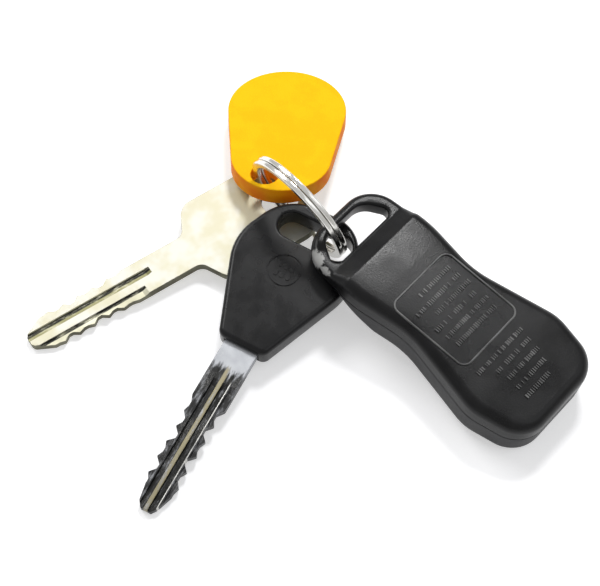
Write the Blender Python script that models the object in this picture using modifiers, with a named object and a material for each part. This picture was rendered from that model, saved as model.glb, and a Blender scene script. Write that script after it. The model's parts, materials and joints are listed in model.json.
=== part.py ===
"""Loaded split key ring: a two-turn split ring that carries a tag, a plain key,
a plastic-headed key and a four-button remote.

World frame: metres, +Z up, origin under the middle of the whole group, on the
surface it lies on.  Every carried item is modelled flat in its own frame, whose
origin is the point where the ring's wire passes through the item, whose X runs
from the ring to the item's far end and whose Z is the item's upper side.
"""

import bmesh
import bpy
from math import asin, atan2, ceil, cos, hypot, pi, radians, sin, tan, tau
from mathutils import Matrix, Vector

MM = 0.001

# ------------------------------------------------------------------ sizes
GAP = 0.3 * MM                     # between pieces that touch

# split ring
RING_OUTER_DIAMETER = 30.0 * MM
WIRE_RADIAL = 2.0 * MM             # wire size across the ring's plane
WIRE_AXIAL = 1.25 * MM             # wire size along the ring's axis
WIRE_CHAMFER = 0.35 * MM
COIL_GAP = 0.1 * MM                # between the two turns
JOG_ANGLE = radians(26)            # arc in which the wire steps to the next turn
RING_STEPS = 48                    # per turn
RING_YAW = radians(-47.7)          # heading of the ring's level diameter
RING_LEAN = radians(11)            # past the vertical
SPLIT_ANGLE = radians(298)         # where the wire's first end lies

# tag
TAG_THICKNESS = 4.5 * MM
TAG_NARROW_RADIUS = 12.2 * MM
TAG_WIDE_RADIUS = 14.7 * MM
TAG_CENTRE_DISTANCE = 17.2 * MM    # between the centres of the two end arcs
TAG_HOLE_DIAMETER = 6.8 * MM
TAG_HOLE_INSET = 5.3 * MM          # from the narrow end to the hole's centre
TAG_HOLE_SIDE = 3.4 * MM           # hole off the centre line
TAG_EDGE = 0.4 * MM
TAG_YAW = radians(85.5)

# plain key
KEY_THICKNESS = 2.2 * MM
KEY_LENGTH = 76.4 * MM             # bow end to tip
KEY_BOW_WIDTH = 24.0 * MM
KEY_BOW_LENGTH = 32.4 * MM
KEY_HOLE_DIAMETER = 9.0 * MM
KEY_HOLE_INSET = 7.6 * MM          # from the bow's end to the hole's centre
KEY_BLADE_WIDTH = 9.1 * MM
KEY_BITTING = (0.5, 1.2, 0.8, 1.4, 1.0, 0.4)
KEY_BITTING_START = 17.0 * MM      # from the bow to the first cut
KEY_GROOVE_DEPTH = 0.55 * MM
KEY_YAW = radians(212.4)
KEY_HEIGHT = 4.7 * MM              # middle of the plain key at the ring

# plastic-headed key
HEAD_THICKNESS = 6.2 * MM
HEAD_WIDTH = 30.6 * MM             # between the side corners before rounding
HEAD_LENGTH = 39.0 * MM
HEAD_EDGE = 1.2 * MM
HEAD_LEFT_CORNER = 8.6 * MM        # half widths of the head's end
HEAD_RIGHT_CORNER = 11.4 * MM
HEAD_LEFT_RADIUS = 12.0 * MM
HEAD_RIGHT_RADIUS = 9.0 * MM
HEAD_WIDEST = 15.4 * MM            # from the head's end to its widest place
HEAD_SIDE_RADIUS = 14.0 * MM
HEAD_COLLAR = 1.7 * MM             # plastic beside the blade
HEAD_COLLAR_RADIUS = 2.2 * MM
MEDALLION_DIAMETER = 8.4 * MM
MEDALLION_DEPTH = 0.25 * MM
MEDALLION_AHEAD = 11.6 * MM        # from the wire to the medallion's middle
HEAD_SLOT_WIDTH = 6.8 * MM
HEAD_SLOT_LENGTH = 19.0 * MM
HEAD_SLOT_INSET = 7.0 * MM         # from the head's end to the slot's middle line
HEAD_SLOT_AHEAD = 0.3 * MM         # slot's middle line beyond the wire
BLADE_THICKNESS = 2.4 * MM
BLADE_WIDTH = 8.4 * MM
BLADE_LENGTH = 43.2 * MM           # out of the head
BLADE_BITTING = (0.7, 1.4, 1.9, 1.0, 1.8, 1.3)
BLADE_BITTING_START = 15.0 * MM
BLADE_GROOVE_DEPTH = 0.6 * MM
TANG_LENGTH = 17.0 * MM            # inside the head
TRANSPONDER_SIZE = (4.0 * MM, 10.0 * MM, 2.4 * MM)
HEAD_YAW = radians(241.4)
HEAD_ROLL = radians(-3)            # left side rests on the plain key's bow
HEAD_MIDDLE = -8.3 * MM            # head's centre line beside the wire
HEAD_SLOT_MIDDLE = -6.3 * MM       # slot's middle beside the wire
STACK_GAP = 2.7 * MM               # between the plain key and the tag at the ring
HEAD_LIFT = -0.1 * MM              # between the plain key and the key head at the ring

# remote
REMOTE_LENGTH = 68.2 * MM
REMOTE_SHOULDER = 27.2 * MM
REMOTE_WAIST = 22.8 * MM
REMOTE_TAIL = 32.0 * MM
REMOTE_HEIGHT = 13.0 * MM
REMOTE_TOP = 4.5 * MM              # upper face above the loop's middle plane
REMOTE_EDGE = 2.6 * MM
REMOTE_WALL = 1.3 * MM
REMOTE_YAW = radians(318)
REMOTE_AXIS_OFFSET = 4.2 * MM      # remote's centre line beside the wire
LOOP_THICKNESS = 4.4 * MM
LOOP_BAR = 2.4 * MM                # round the hole
LOOP_HOLE_WIDTH = 7.0 * MM
LOOP_REACH = 5.8 * MM              # from the wire to the loop's end
LOOP_LIFT = 1.3 * MM               # between the key head and the loop
PARTING = -1.0 * MM                # joint of the two covers
RAMP_LENGTH = 14.0 * MM            # underside rises to the loop over this length
BOARD_THICKNESS = 1.0 * MM
MAT_THICKNESS = 0.8 * MM
LEDGE = 1.3 * MM                   # step in the front cover that carries the mat
CELL_DIAMETER = 20.0 * MM
CELL_THICKNESS = 2.5 * MM
CONTACT_THICKNESS = 0.3 * MM
BUTTON_LENGTH = 9.0 * MM
BUTTON_WIDTH = 7.0 * MM
BUTTON_CLEARANCE = 0.35 * MM
BUTTON_RECESS = 0.2 * MM
BUTTON_TRAVEL = 0.8 * MM
BUTTON_CORNER = 2.2 * MM
BUTTON_FRONT = 23.0 * MM           # where the button group begins, beyond the wire
BUTTON_SPACE_X = 4.0 * MM          # between neighbouring buttons
BUTTON_SPACE_Y = 2.0 * MM
PLUNGER_DIAMETER = 2.4 * MM
BUTTON_FLANGE = 0.7 * MM
SWITCH_SIZE = 4.0 * MM
LED_DIAMETER = 3.0 * MM
BUTTON_NAMES = ("lock", "unlock", "trunk", "panic")
LED_X = 21.5 * MM                  # places along the remote, beyond the wire
CELL_X = 45.0 * MM
CHIP_X = 12.0 * MM
SWITCH_HEIGHT = 0.7 * MM
STEM_DIAMETER = 2.0 * MM
STEM_HEIGHT = 0.3 * MM
POST_DIAMETER = 2.4 * MM
POST_FRONT_X = 14.5 * MM
POST_FRONT_SIDE = 7.6 * MM         # off the remote's centre line
POST_TAIL_INSET = 7.5 * MM         # from the tail's end
POST_TAIL_SIDE = 8.0 * MM
CHIP_SIZE = (6.0 * MM, 5.0 * MM, 1.4 * MM)
CHIP_SIDE = 1.5 * MM
CRYSTAL_SIZE = (10.0 * MM, 3.5 * MM, 2.4 * MM)
CRYSTAL_CORNER = 1.2 * MM
PAD_DIAMETER = 8.0 * MM
CELL_EDGE = 0.3 * MM
STRAP_WIDTH = 6.0 * MM
STRAP_AWAY = 2.4 * MM              # from the cell's edge to the strap's leg
STRAP_PAST = 2.0 * MM              # beyond the cell's middle
OUTSIDE = 80.0 * MM                # reach of a cutter past every piece

ARC_STEP = radians(15)             # longest step along a rounded corner

# ------------------------------------------------------------------ scene

for old in list(bpy.data.objects):
    bpy.data.objects.remove(old, do_unlink=True)


def new_collection(name):
    """Make a collection in the scene."""
    collection = bpy.data.collections.new(name)
    bpy.context.scene.collection.children.link(collection)
    return collection


PARTS = new_collection("split_key_ring")
CUTTERS = new_collection("cutters")


def finish(name, colour, roughness, metallic=0.0):
    """Plain Principled material."""
    material = bpy.data.materials.new(name)
    material.use_nodes = True
    shader = material.node_tree.nodes["Principled BSDF"]
    shader.inputs["Base Color"].default_value = (*colour, 1.0)
    shader.inputs["Roughness"].default_value = roughness
    shader.inputs["Metallic"].default_value = metallic
    return material


RING_STEEL = finish("ring_steel", (0.62, 0.61, 0.58), 0.22, 1.0)
TAG_PLASTIC = finish("tag_plastic", (1.0, 0.50, 0.01), 0.55)
KEY_NICKEL = finish("key_nickel", (0.78, 0.75, 0.66), 0.32, 1.0)
BLADE_STEEL = finish("blade_steel", (0.42, 0.40, 0.36), 0.42, 1.0)
HEAD_PLASTIC = finish("head_plastic", (0.022, 0.022, 0.024), 0.42)
CASE_PLASTIC = finish("case_plastic", (0.016, 0.016, 0.018), 0.34)
BUTTON_RUBBER = finish("button_rubber", (0.05, 0.05, 0.055), 0.6)
MAT_RUBBER = finish("mat_rubber", (0.12, 0.12, 0.12), 0.75)
BOARD_LAMINATE = finish("board_laminate", (0.03, 0.17, 0.07), 0.45)
CELL_STEEL = finish("cell_steel", (0.68, 0.68, 0.66), 0.28, 1.0)
CONTACT_METAL = finish("contact_metal", (0.72, 0.66, 0.50), 0.3, 1.0)
CHIP_EPOXY = finish("chip_epoxy", (0.03, 0.03, 0.03), 0.5)
LED_LENS = finish("led_lens", (0.55, 0.03, 0.02), 0.2)
GLASS_CAPSULE = finish("transponder_ceramic", (0.10, 0.10, 0.11), 0.4)

# ------------------------------------------------------------------ shapes


def adopt(name, mesh, frame, material=None):
    """Put a mesh in the scene under a frame; without a material it is a cutter."""
    obj = bpy.data.objects.new(name, mesh)
    obj.parent = frame
    if material:
        mesh.materials.clear()
        mesh.materials.append(material)
        PARTS.objects.link(obj)
    else:
        obj.hide_render = True
        obj.display_type = "WIRE"
        CUTTERS.objects.link(obj)
    return obj


def plain_mesh(name, build):
    """Mesh filled by a function that works on a bmesh, wound outwards."""
    mesh = bpy.data.meshes.new(name)
    work = bmesh.new()
    build(work)
    bmesh.ops.recalc_face_normals(work, faces=work.faces)
    work.to_mesh(mesh)
    work.free()
    return mesh


def block(name, low, high, frame, material=None):
    """Box between two corners."""
    def build(work):
        size = [high[i] - low[i] for i in range(3)]
        middle = [(high[i] + low[i]) / 2 for i in range(3)]
        scale = Matrix.Diagonal((*size, 1.0))
        bmesh.ops.create_cube(work, size=1.0, matrix=Matrix.Translation(middle) @ scale)
    return adopt(name, plain_mesh(name, build), frame, material)


def disc(name, centre, diameter, bottom, top, frame, material=None, sides=24):
    """Round piece standing on a flat item."""
    def build(work):
        place = Matrix.Translation((centre[0], centre[1], (bottom + top) / 2))
        bmesh.ops.create_cone(work, cap_ends=True, segments=sides, radius1=diameter / 2,
                              radius2=diameter / 2, depth=top - bottom, matrix=place)
    obj = adopt(name, plain_mesh(name, build), frame, material)
    smooth(obj)
    return obj


def plate(name, outline, bottom, top, frame, material=None, upright=False):
    """Flat piece with a closed outline; upright turns the outline into the XZ plane."""
    curve = bpy.data.curves.new(name, "CURVE")
    curve.dimensions = "2D"
    curve.fill_mode = "BOTH"
    curve.extrude = (top - bottom) / 2
    spline = curve.splines.new("POLY")
    spline.points.add(len(outline) - 1)
    for point, (x, y) in zip(spline.points, outline):
        point.co = (x, y, 0.0, 1.0)
    spline.use_cyclic_u = True
    holder = bpy.data.objects.new(name + "_outline", curve)
    bpy.context.scene.collection.objects.link(holder)
    bpy.context.view_layer.update()
    mesh = bpy.data.meshes.new_from_object(holder.evaluated_get(
        bpy.context.evaluated_depsgraph_get()))
    bpy.data.objects.remove(holder, do_unlink=True)
    work = bmesh.new()
    work.from_mesh(mesh)
    bmesh.ops.remove_doubles(work, verts=work.verts, dist=0.001 * MM)
    bmesh.ops.dissolve_limit(work, angle_limit=radians(1), verts=work.verts, edges=work.edges)
    lift = Matrix.Translation((0, 0, (top + bottom) / 2))
    turn = Matrix.Rotation(pi / 2, 4, "X") if upright else Matrix.Identity(4)
    bmesh.ops.transform(work, matrix=turn @ lift, verts=work.verts)
    bmesh.ops.recalc_face_normals(work, faces=work.faces)
    work.to_mesh(mesh)
    work.free()
    obj = adopt(name, mesh, frame, material)
    smooth(obj)
    return obj


def smooth(obj):
    """Smooth shading with sharp creases."""
    obj.data.shade_smooth()
    obj.data.set_sharp_from_angle(angle=radians(40))


def round_edges(obj, radius, segments=2, crease=50):
    """Bevel the edges that are sharper than the crease angle in degrees."""
    bevel = obj.modifiers.new("rounding", "BEVEL")
    bevel.width = radius
    bevel.segments = segments
    bevel.limit_method = "ANGLE"
    bevel.angle_limit = radians(crease)


def boolean(obj, other, operation="DIFFERENCE"):
    """Cut, join or intersect with another object."""
    modifier = obj.modifiers.new(operation.lower() + "_" + other.name, "BOOLEAN")
    modifier.operation = operation
    modifier.object = other
    modifier.solver = "EXACT"


def rounded_polygon(corners):
    """Closed outline from corners (x, y, fillet radius)."""
    outline = []
    for i, (x, y, radius) in enumerate(corners):
        corner = Vector((x, y))
        before = (Vector(corners[i - 1][:2]) - corner).normalized()
        after = (Vector(corners[(i + 1) % len(corners)][:2]) - corner).normalized()
        opening = before.angle(after)
        if radius <= 0 or opening > pi - 0.01:
            outline.append(corner)
            continue
        centre = corner + (before + after).normalized() * radius / sin(opening / 2)
        start = corner + before * radius / tan(opening / 2) - centre
        end = corner + after * radius / tan(opening / 2) - centre
        sweep = start.angle_signed(end)
        steps = max(1, ceil(abs(sweep) / ARC_STEP))
        outline += [centre + Matrix.Rotation(-sweep * k / steps, 2) @ start
                    for k in range(steps + 1)]
    return [(p.x, p.y) for p in outline]


def mirrored(corners, middle=0.0):
    """Add the mirror image of corners given for the +Y side, from -X to +X."""
    upper = [(x, middle + y, r) for x, y, r in reversed(corners)]
    return [(x, middle - y, r) for x, y, r in corners] + upper


def inset(outline, distance):
    """Outline moved inwards; the outline runs anticlockwise."""
    result = []
    count = len(outline)
    for i in range(count):
        before = Vector(outline[i]) - Vector(outline[i - 1])
        after = Vector(outline[(i + 1) % count]) - Vector(outline[i])
        normal_a = Vector((-before.y, before.x)).normalized()
        normal_b = Vector((-after.y, after.x)).normalized()
        middle = (normal_a + normal_b).normalized()
        result.append(tuple(Vector(outline[i]) + middle * distance / middle.dot(normal_a)))
    return result


def slot_outline(centre, length, width):
    """Straight slot along Y with round ends."""
    return rounded_box(centre, (width, length), width / 2 - 0.01 * MM)


def rounded_box(centre, size, radius):
    """Rectangle with round corners."""
    x, y = centre
    half_x, half_y = size[0] / 2, size[1] / 2
    return rounded_polygon([(x - half_x, y - half_y, radius), (x + half_x, y - half_y, radius),
                            (x + half_x, y + half_y, radius), (x - half_x, y + half_y, radius)])


def chamfered_box(centre, size, chamfer):
    """Rectangle with its corners cut off."""
    x, y = centre
    half_x, half_y = size[0] / 2, size[1] / 2
    corners = []
    for sx, sy in ((-1, -1), (1, -1), (1, 1), (-1, 1)):
        ends = [(x + sx * (half_x - chamfer), y + sy * half_y),
                (x + sx * half_x, y + sy * (half_y - chamfer))]
        corners += ends[::-1] if sx * sy > 0 else ends
    return corners


def bitted_edge(start, end, half_width, depths, side):
    """Points of a key's cut edge from the bow to the tip."""
    pitch = (end - start) / len(depths)
    points = [(start, side * half_width)]
    for i, depth in enumerate(depths):
        x = start + pitch * i
        y = side * (half_width - depth * MM)
        points += [(x + 0.42 * pitch, y), (x + 0.68 * pitch, y)]
        if i < len(depths) - 1:
            crest = min(depth, depths[i + 1]) * 0.35 * MM
            points.append((x + 1.05 * pitch, side * (half_width - crest)))
    return points


# ------------------------------------------------------------------ frames

COIL_HALF = WIRE_AXIAL + COIL_GAP / 2
WIRE_RADIUS = (RING_OUTER_DIAMETER - WIRE_RADIAL) / 2
RING_HEIGHT = RING_OUTER_DIAMETER / 2 * cos(RING_LEAN) + COIL_HALF * sin(RING_LEAN)

root = bpy.data.objects.new("key_ring_root", None)
PARTS.objects.link(root)


def new_frame(name, place):
    """Empty under the root; everything of one body hangs under it."""
    empty = bpy.data.objects.new(name, None)
    empty.parent = root
    empty.matrix_local = place
    PARTS.objects.link(empty)
    return empty


RING_TURN = Matrix.Rotation(RING_YAW, 4, "Z") @ Matrix.Rotation(pi / 2 + RING_LEAN, 4, "X")
ring_frame = new_frame("ring_frame", Matrix.Translation((0, 0, RING_HEIGHT)) @ RING_TURN)


def wire_point(height, far_side):
    """Centre of the wire at a height, on the right or the left of the ring."""
    rise = asin((height - RING_HEIGHT) / (WIRE_RADIUS * cos(RING_LEAN)))
    angle = rise if far_side else pi - rise
    flat = Vector((WIRE_RADIUS * cos(angle), WIRE_RADIUS * sin(angle), 0))
    return RING_TURN @ flat + Vector((0, 0, RING_HEIGHT))


def hang(name, height, far_side, yaw, reach, drop, roll=0.0):
    """Frame of an item on the wire whose far end, reach away and drop below its
    middle plane, lies on the surface that the group stands on."""
    point = wire_point(height, far_side)
    pitch = asin(height / hypot(reach, drop)) - atan2(drop, reach)
    turn = Matrix.Rotation(yaw, 4, "Z") @ Matrix.Rotation(pitch, 4, "Y") @ Matrix.Rotation(roll, 4, "X")
    return new_frame(name, Matrix.Translation(point) @ turn)


TAG_HEIGHT = KEY_HEIGHT + (KEY_THICKNESS + TAG_THICKNESS) / 2 + STACK_GAP
HEAD_HEIGHT = KEY_HEIGHT + (KEY_THICKNESS + HEAD_THICKNESS) / 2 + HEAD_LIFT
LOOP_HEIGHT = HEAD_HEIGHT + (HEAD_THICKNESS + LOOP_THICKNESS) / 2 + LOOP_LIFT
TAG_REACH = TAG_NARROW_RADIUS + TAG_CENTRE_DISTANCE + TAG_WIDE_RADIUS - TAG_HOLE_INSET
KEY_REACH = KEY_LENGTH - KEY_HOLE_INSET
HEAD_REACH = HEAD_SLOT_AHEAD - HEAD_SLOT_INSET + HEAD_LENGTH + BLADE_LENGTH
REMOTE_REACH = REMOTE_LENGTH - LOOP_REACH

tag_frame = hang("tag_frame", TAG_HEIGHT, False, TAG_YAW, TAG_REACH, TAG_THICKNESS / 2)
key_frame = hang("plain_key_frame", KEY_HEIGHT, False, KEY_YAW, KEY_REACH, KEY_THICKNESS / 2)
head_frame = hang("car_key_frame", HEAD_HEIGHT, True, HEAD_YAW, HEAD_REACH,
                  BLADE_THICKNESS / 2 - HEAD_MIDDLE * tan(HEAD_ROLL), HEAD_ROLL)
remote_frame = hang("remote_frame", LOOP_HEIGHT, True, REMOTE_YAW,
                    REMOTE_REACH - REMOTE_EDGE, REMOTE_HEIGHT - REMOTE_TOP)

# ------------------------------------------------------------------ split ring


def coil_centre(angle):
    """Centre of the wire along its two turns: one layer, a jog, the other layer."""
    first = tau - JOG_ANGLE
    share = min(1.0, max(0.0, (angle - first) / JOG_ANGLE))
    step = share * share * (3 - 2 * share)
    axial = (WIRE_AXIAL + COIL_GAP) * (step - 0.5)
    heading = SPLIT_ANGLE + angle
    return WIRE_RADIUS * cos(heading), WIRE_RADIUS * sin(heading), axial


def build_ring():
    """Flattened wire wound twice round."""
    section = bpy.data.curves.new("wire_section", "CURVE")
    section.dimensions = "2D"
    outline = chamfered_box((0, 0), (WIRE_RADIAL, WIRE_AXIAL), WIRE_CHAMFER)
    spline = section.splines.new("POLY")
    spline.points.add(len(outline) - 1)
    for point, (x, y) in zip(spline.points, outline):
        point.co = (x, y, 0.0, 1.0)
    spline.use_cyclic_u = True
    section_holder = bpy.data.objects.new("wire_section", section)
    CUTTERS.objects.link(section_holder)
    section_holder.hide_render = True
    section_holder.display_type = "WIRE"

    wire = bpy.data.curves.new("split_ring", "CURVE")
    wire.dimensions = "3D"
    wire.twist_mode = "Z_UP"
    wire.bevel_mode = "OBJECT"
    wire.bevel_object = section_holder
    wire.use_fill_caps = True
    total = 2 * tau - JOG_ANGLE
    count = int(2 * RING_STEPS * total / (2 * tau))
    spline = wire.splines.new("POLY")
    spline.points.add(count)
    for i, point in enumerate(spline.points):
        point.co = (*coil_centre(total * i / count), 1.0)
    holder = bpy.data.objects.new("ring_wire", wire)
    bpy.context.scene.collection.objects.link(holder)
    bpy.context.view_layer.update()
    mesh = bpy.data.meshes.new_from_object(holder.evaluated_get(
        bpy.context.evaluated_depsgraph_get()))
    bpy.data.objects.remove(holder, do_unlink=True)
    work = bmesh.new()
    work.from_mesh(mesh)
    bmesh.ops.remove_doubles(work, verts=work.verts, dist=0.001 * MM)
    bmesh.ops.recalc_face_normals(work, faces=work.faces)
    work.to_mesh(mesh)
    work.free()
    ring = adopt("split_ring", mesh, ring_frame, RING_STEEL)
    smooth(ring)


# ------------------------------------------------------------------ tag


def build_tag():
    """Egg-shaped flat tag: two arcs and their common tangents, with one hole."""
    narrow_x = TAG_NARROW_RADIUS - TAG_HOLE_INSET
    wide_x = narrow_x + TAG_CENTRE_DISTANCE
    lean = asin((TAG_WIDE_RADIUS - TAG_NARROW_RADIUS) / TAG_CENTRE_DISTANCE)
    outline = []
    for centre, radius, start, end in ((wide_x, TAG_WIDE_RADIUS, -pi / 2 - lean, pi / 2 + lean),
                                       (narrow_x, TAG_NARROW_RADIUS, pi / 2 + lean, 3 * pi / 2 - lean)):
        steps = ceil((end - start) / radians(9))
        outline += [(centre + radius * cos(start + (end - start) * k / steps),
                     -TAG_HOLE_SIDE + radius * sin(start + (end - start) * k / steps))
                    for k in range(steps + 1)]
    half = TAG_THICKNESS / 2
    tag = plate("tag", outline, -half, half, tag_frame, TAG_PLASTIC)
    round_edges(tag, TAG_EDGE, 1)
    boolean(tag, disc("tag_hole", (0, 0), TAG_HOLE_DIAMETER, -half - MM, half + MM, tag_frame))


# ------------------------------------------------------------------ plain key


def build_plain_key():
    """One flat blank: rounded bow, cut edges on both sides, milled grooves."""
    half, blade = KEY_BOW_WIDTH / 2, KEY_BLADE_WIDTH / 2
    bow_start, neck = -KEY_HOLE_INSET, KEY_BOW_LENGTH - KEY_HOLE_INSET
    tip = KEY_REACH
    cuts_start, cuts_end = neck + KEY_BITTING_START, tip - 3.5 * MM
    lower = [(bow_start, -half, 8 * MM), (neck - 3.8 * MM, -half, 3 * MM), (neck, -blade, 1.5 * MM)]
    edge = bitted_edge(cuts_start, cuts_end, blade, KEY_BITTING, -1)
    point = [(tip - 0.6 * MM, -1.9 * MM), (tip, -1.2 * MM)]
    lower += [(x, y, 0.0) for x, y in edge + point]
    edge = bitted_edge(cuts_start, cuts_end, blade, KEY_BITTING[::-1], 1)
    point = [(tip - 0.6 * MM, 1.9 * MM), (tip, 1.2 * MM)]
    upper = [(x, y, 0.0) for x, y in reversed(edge + point)]
    upper += [(neck, blade, 1.5 * MM), (neck - 3.8 * MM, half, 3 * MM), (bow_start, half, 8 * MM)]
    mid = KEY_THICKNESS / 2
    key = plate("plain_key", rounded_polygon(lower + upper), -mid, mid, key_frame, KEY_NICKEL)
    boolean(key, disc("plain_key_hole", (0, 0), KEY_HOLE_DIAMETER, -mid - MM, mid + MM, key_frame))
    for name, y, width, level in (("a", -1.9, 1.3, 1), ("b", 1.6, 1.5, 1), ("c", 0.0, 1.6, -1)):
        add_groove(key, "plain_key_groove_" + name, key_frame, neck + 10 * MM, tip + MM,
                   y * MM, width * MM, mid, KEY_GROOVE_DEPTH, level)


def add_groove(key, name, frame, start, end, y, width, half_thickness, depth, level):
    """Straight groove milled into the upper (level 1) or lower (level -1) face."""
    faces = sorted((level * (half_thickness - depth), level * (half_thickness + MM)))
    boolean(key, block(name, (start, y - width / 2, faces[0]), (end, y + width / 2, faces[1]), frame))


# ------------------------------------------------------------------ plastic-headed key

HEAD_START = HEAD_SLOT_AHEAD - HEAD_SLOT_INSET
HEAD_END = HEAD_START + HEAD_LENGTH
TANG_START = HEAD_END - TANG_LENGTH


def build_car_key():
    """Moulded head round the tang of a cut blade, with a transponder beside the tang."""
    half = HEAD_THICKNESS / 2
    corners = mirrored([(HEAD_START, HEAD_LEFT_CORNER, HEAD_LEFT_RADIUS),
                        (HEAD_START + HEAD_WIDEST, HEAD_WIDTH / 2, HEAD_SIDE_RADIUS),
                        (HEAD_END, BLADE_WIDTH / 2 + HEAD_COLLAR, HEAD_COLLAR_RADIUS)],
                       HEAD_MIDDLE)
    corners[-1] = (HEAD_START, HEAD_MIDDLE + HEAD_RIGHT_CORNER, HEAD_RIGHT_RADIUS)
    head = plate("key_head", rounded_polygon(corners), -half, half, head_frame, HEAD_PLASTIC)
    round_edges(head, HEAD_EDGE)
    slot = slot_outline((HEAD_SLOT_AHEAD, HEAD_SLOT_MIDDLE), HEAD_SLOT_LENGTH, HEAD_SLOT_WIDTH)
    boolean(head, plate("key_head_slot", slot, -half - MM, half + MM, head_frame))
    tang, thick = BLADE_WIDTH / 2 + GAP, BLADE_THICKNESS / 2 + GAP
    boolean(head, block("tang_pocket", (TANG_START - GAP, HEAD_MIDDLE - tang, -thick),
                        (HEAD_END + MM, HEAD_MIDDLE + tang, thick), head_frame))
    length, width, height = TRANSPONDER_SIZE
    left = TANG_START - GAP - length
    boolean(head, block("transponder_pocket",
                        (left - GAP, HEAD_MIDDLE - width / 2 - GAP, -height / 2 - GAP),
                        (TANG_START, HEAD_MIDDLE + width / 2 + GAP, height / 2 + GAP), head_frame))
    block("transponder", (left, HEAD_MIDDLE - width / 2, -height / 2),
          (left + length - GAP, HEAD_MIDDLE + width / 2, height / 2), head_frame, GLASS_CAPSULE)
    boolean(head, disc("head_medallion", (MEDALLION_AHEAD, HEAD_MIDDLE), MEDALLION_DIAMETER,
                       half - MEDALLION_DEPTH, half + MM, head_frame, sides=28))

    blade = BLADE_WIDTH / 2
    tip = HEAD_REACH
    start, end = HEAD_END + BLADE_BITTING_START, tip - 4 * MM
    lower = [(TANG_START, -blade, 0), *[(x, y, 0) for x, y in
             bitted_edge(start, end, blade, BLADE_BITTING, -1)], (tip - 1.4 * MM, -2.2 * MM, 0)]
    upper = [(tip - 1.4 * MM, 2.2 * MM, 0), *[(x, y, 0) for x, y in
             reversed(bitted_edge(start, end, blade, BLADE_BITTING[::-1], 1))], (TANG_START, blade, 0)]
    point = [(tip, -1.2 * MM, 0), (tip, 1.2 * MM, 0)]
    corners = [(x, y + HEAD_MIDDLE, r) for x, y, r in lower + point + upper]
    mid = BLADE_THICKNESS / 2
    metal = plate("key_blade", rounded_polygon(corners), -mid, mid, head_frame, BLADE_STEEL)
    for name, y, width, level in (("a", -1.7, 1.5, 1), ("b", 1.4, 1.3, 1), ("c", 0.2, 1.6, -1)):
        add_groove(metal, "blade_groove_" + name, head_frame, HEAD_END + 8 * MM, tip + MM,
                   HEAD_MIDDLE + y * MM, width * MM, mid, BLADE_GROOVE_DEPTH, level)


# ------------------------------------------------------------------ remote

LOOP_HALF = LOOP_THICKNESS / 2
REMOTE_BOTTOM = REMOTE_TOP - REMOTE_HEIGHT
INNER_FLOOR = REMOTE_BOTTOM + REMOTE_WALL
INNER_TOP = REMOTE_TOP - REMOTE_WALL
FLANGE_BOTTOM = INNER_FLOOR + GAP
FLANGE_TOP = FLANGE_BOTTOM + BUTTON_FLANGE
MAT_BOTTOM = FLANGE_TOP + BUTTON_TRAVEL + GAP
MAT_TOP = MAT_BOTTOM + MAT_THICKNESS
LEDGE_TOP = MAT_BOTTOM - GAP
BOARD_TOP = PARTING - 0.3 * MM
BOARD_BOTTOM = BOARD_TOP - BOARD_THICKNESS
MIDLINE = REMOTE_AXIS_OFFSET
LOOP_ROOT = LOOP_HOLE_WIDTH + LOOP_BAR - LOOP_REACH + 0.8 * MM   # where the covers begin
TOP_RAMP_END = LOOP_ROOT + 4.0 * MM
BUTTON_X = BUTTON_FRONT + BUTTON_LENGTH + BUTTON_SPACE_X / 2
WELL_START = LOOP_ROOT + RAMP_LENGTH * 0.62    # where the inner floor is level
MAT_START = WELL_START + 1.6 * MM
BOARD_START = LOOP_ROOT + 5.0 * MM


def remote_outline():
    """Waisted outline, wider at the tail."""
    tail = REMOTE_REACH
    return rounded_polygon(mirrored([
        (-LOOP_REACH, REMOTE_SHOULDER / 2 - 1.5 * MM, 8 * MM), (12 * MM, REMOTE_SHOULDER / 2, 30 * MM),
        (27 * MM, REMOTE_WAIST / 2, 24 * MM), (tail - 14 * MM, REMOTE_TAIL / 2, 12 * MM),
        (tail, REMOTE_TAIL / 2 - 3 * MM, 8 * MM)], MIDLINE))


def side_cutter(name, profile, width=60 * MM):
    """Prism across the remote with a profile of (x, height) points."""
    return plate(name, profile, -width / 2, width / 2, remote_frame, upright=True)


def ramp(start, end, share):
    """Point on the line from start to end, at a share of its length."""
    return tuple(a + (b - a) * share for a, b in zip(start, end))


def remote_solid(name, outline, bottom, top, wall, material=None):
    """Slab of the remote's outline, ramped down to the loop on both faces, less a wall."""
    solid = plate(name, outline, bottom, top, remote_frame, material)
    far = 20 * MM
    inward = wall * 1.15
    start, end = (LOOP_ROOT + inward, -LOOP_HALF + wall * 0.4), \
        (LOOP_ROOT + RAMP_LENGTH + inward, REMOTE_BOTTOM + wall * 0.4)
    boolean(solid, side_cutter(name + "_under_cut", [
        (-far, start[1]), start, ramp(start, end, 1.3), (-far, ramp(start, end, 1.3)[1])]))
    start, end = (LOOP_ROOT + inward, LOOP_HALF - wall * 0.4), \
        (TOP_RAMP_END + inward, REMOTE_TOP - wall * 0.4)
    boolean(solid, side_cutter(name + "_over_cut", [
        (-far, start[1]), start, ramp(start, end, 1.6), (-far, ramp(start, end, 1.6)[1])]))
    return solid


def loop_hole_outline():
    """D-shaped hole: one straight side along the body, one bowed side."""
    right = LOOP_HOLE_WIDTH + LOOP_BAR - LOOP_REACH
    left = right - LOOP_HOLE_WIDTH
    half = REMOTE_SHOULDER / 2 - LOOP_BAR - 0.6 * MM
    return rounded_polygon([(x, MIDLINE + y, r) for x, y, r in (
        (right, -half, 1.6 * MM), (right, half, 1.6 * MM),
        (left, 0.62 * half, 5 * MM), (left, -0.62 * half, 5 * MM))])


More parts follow.
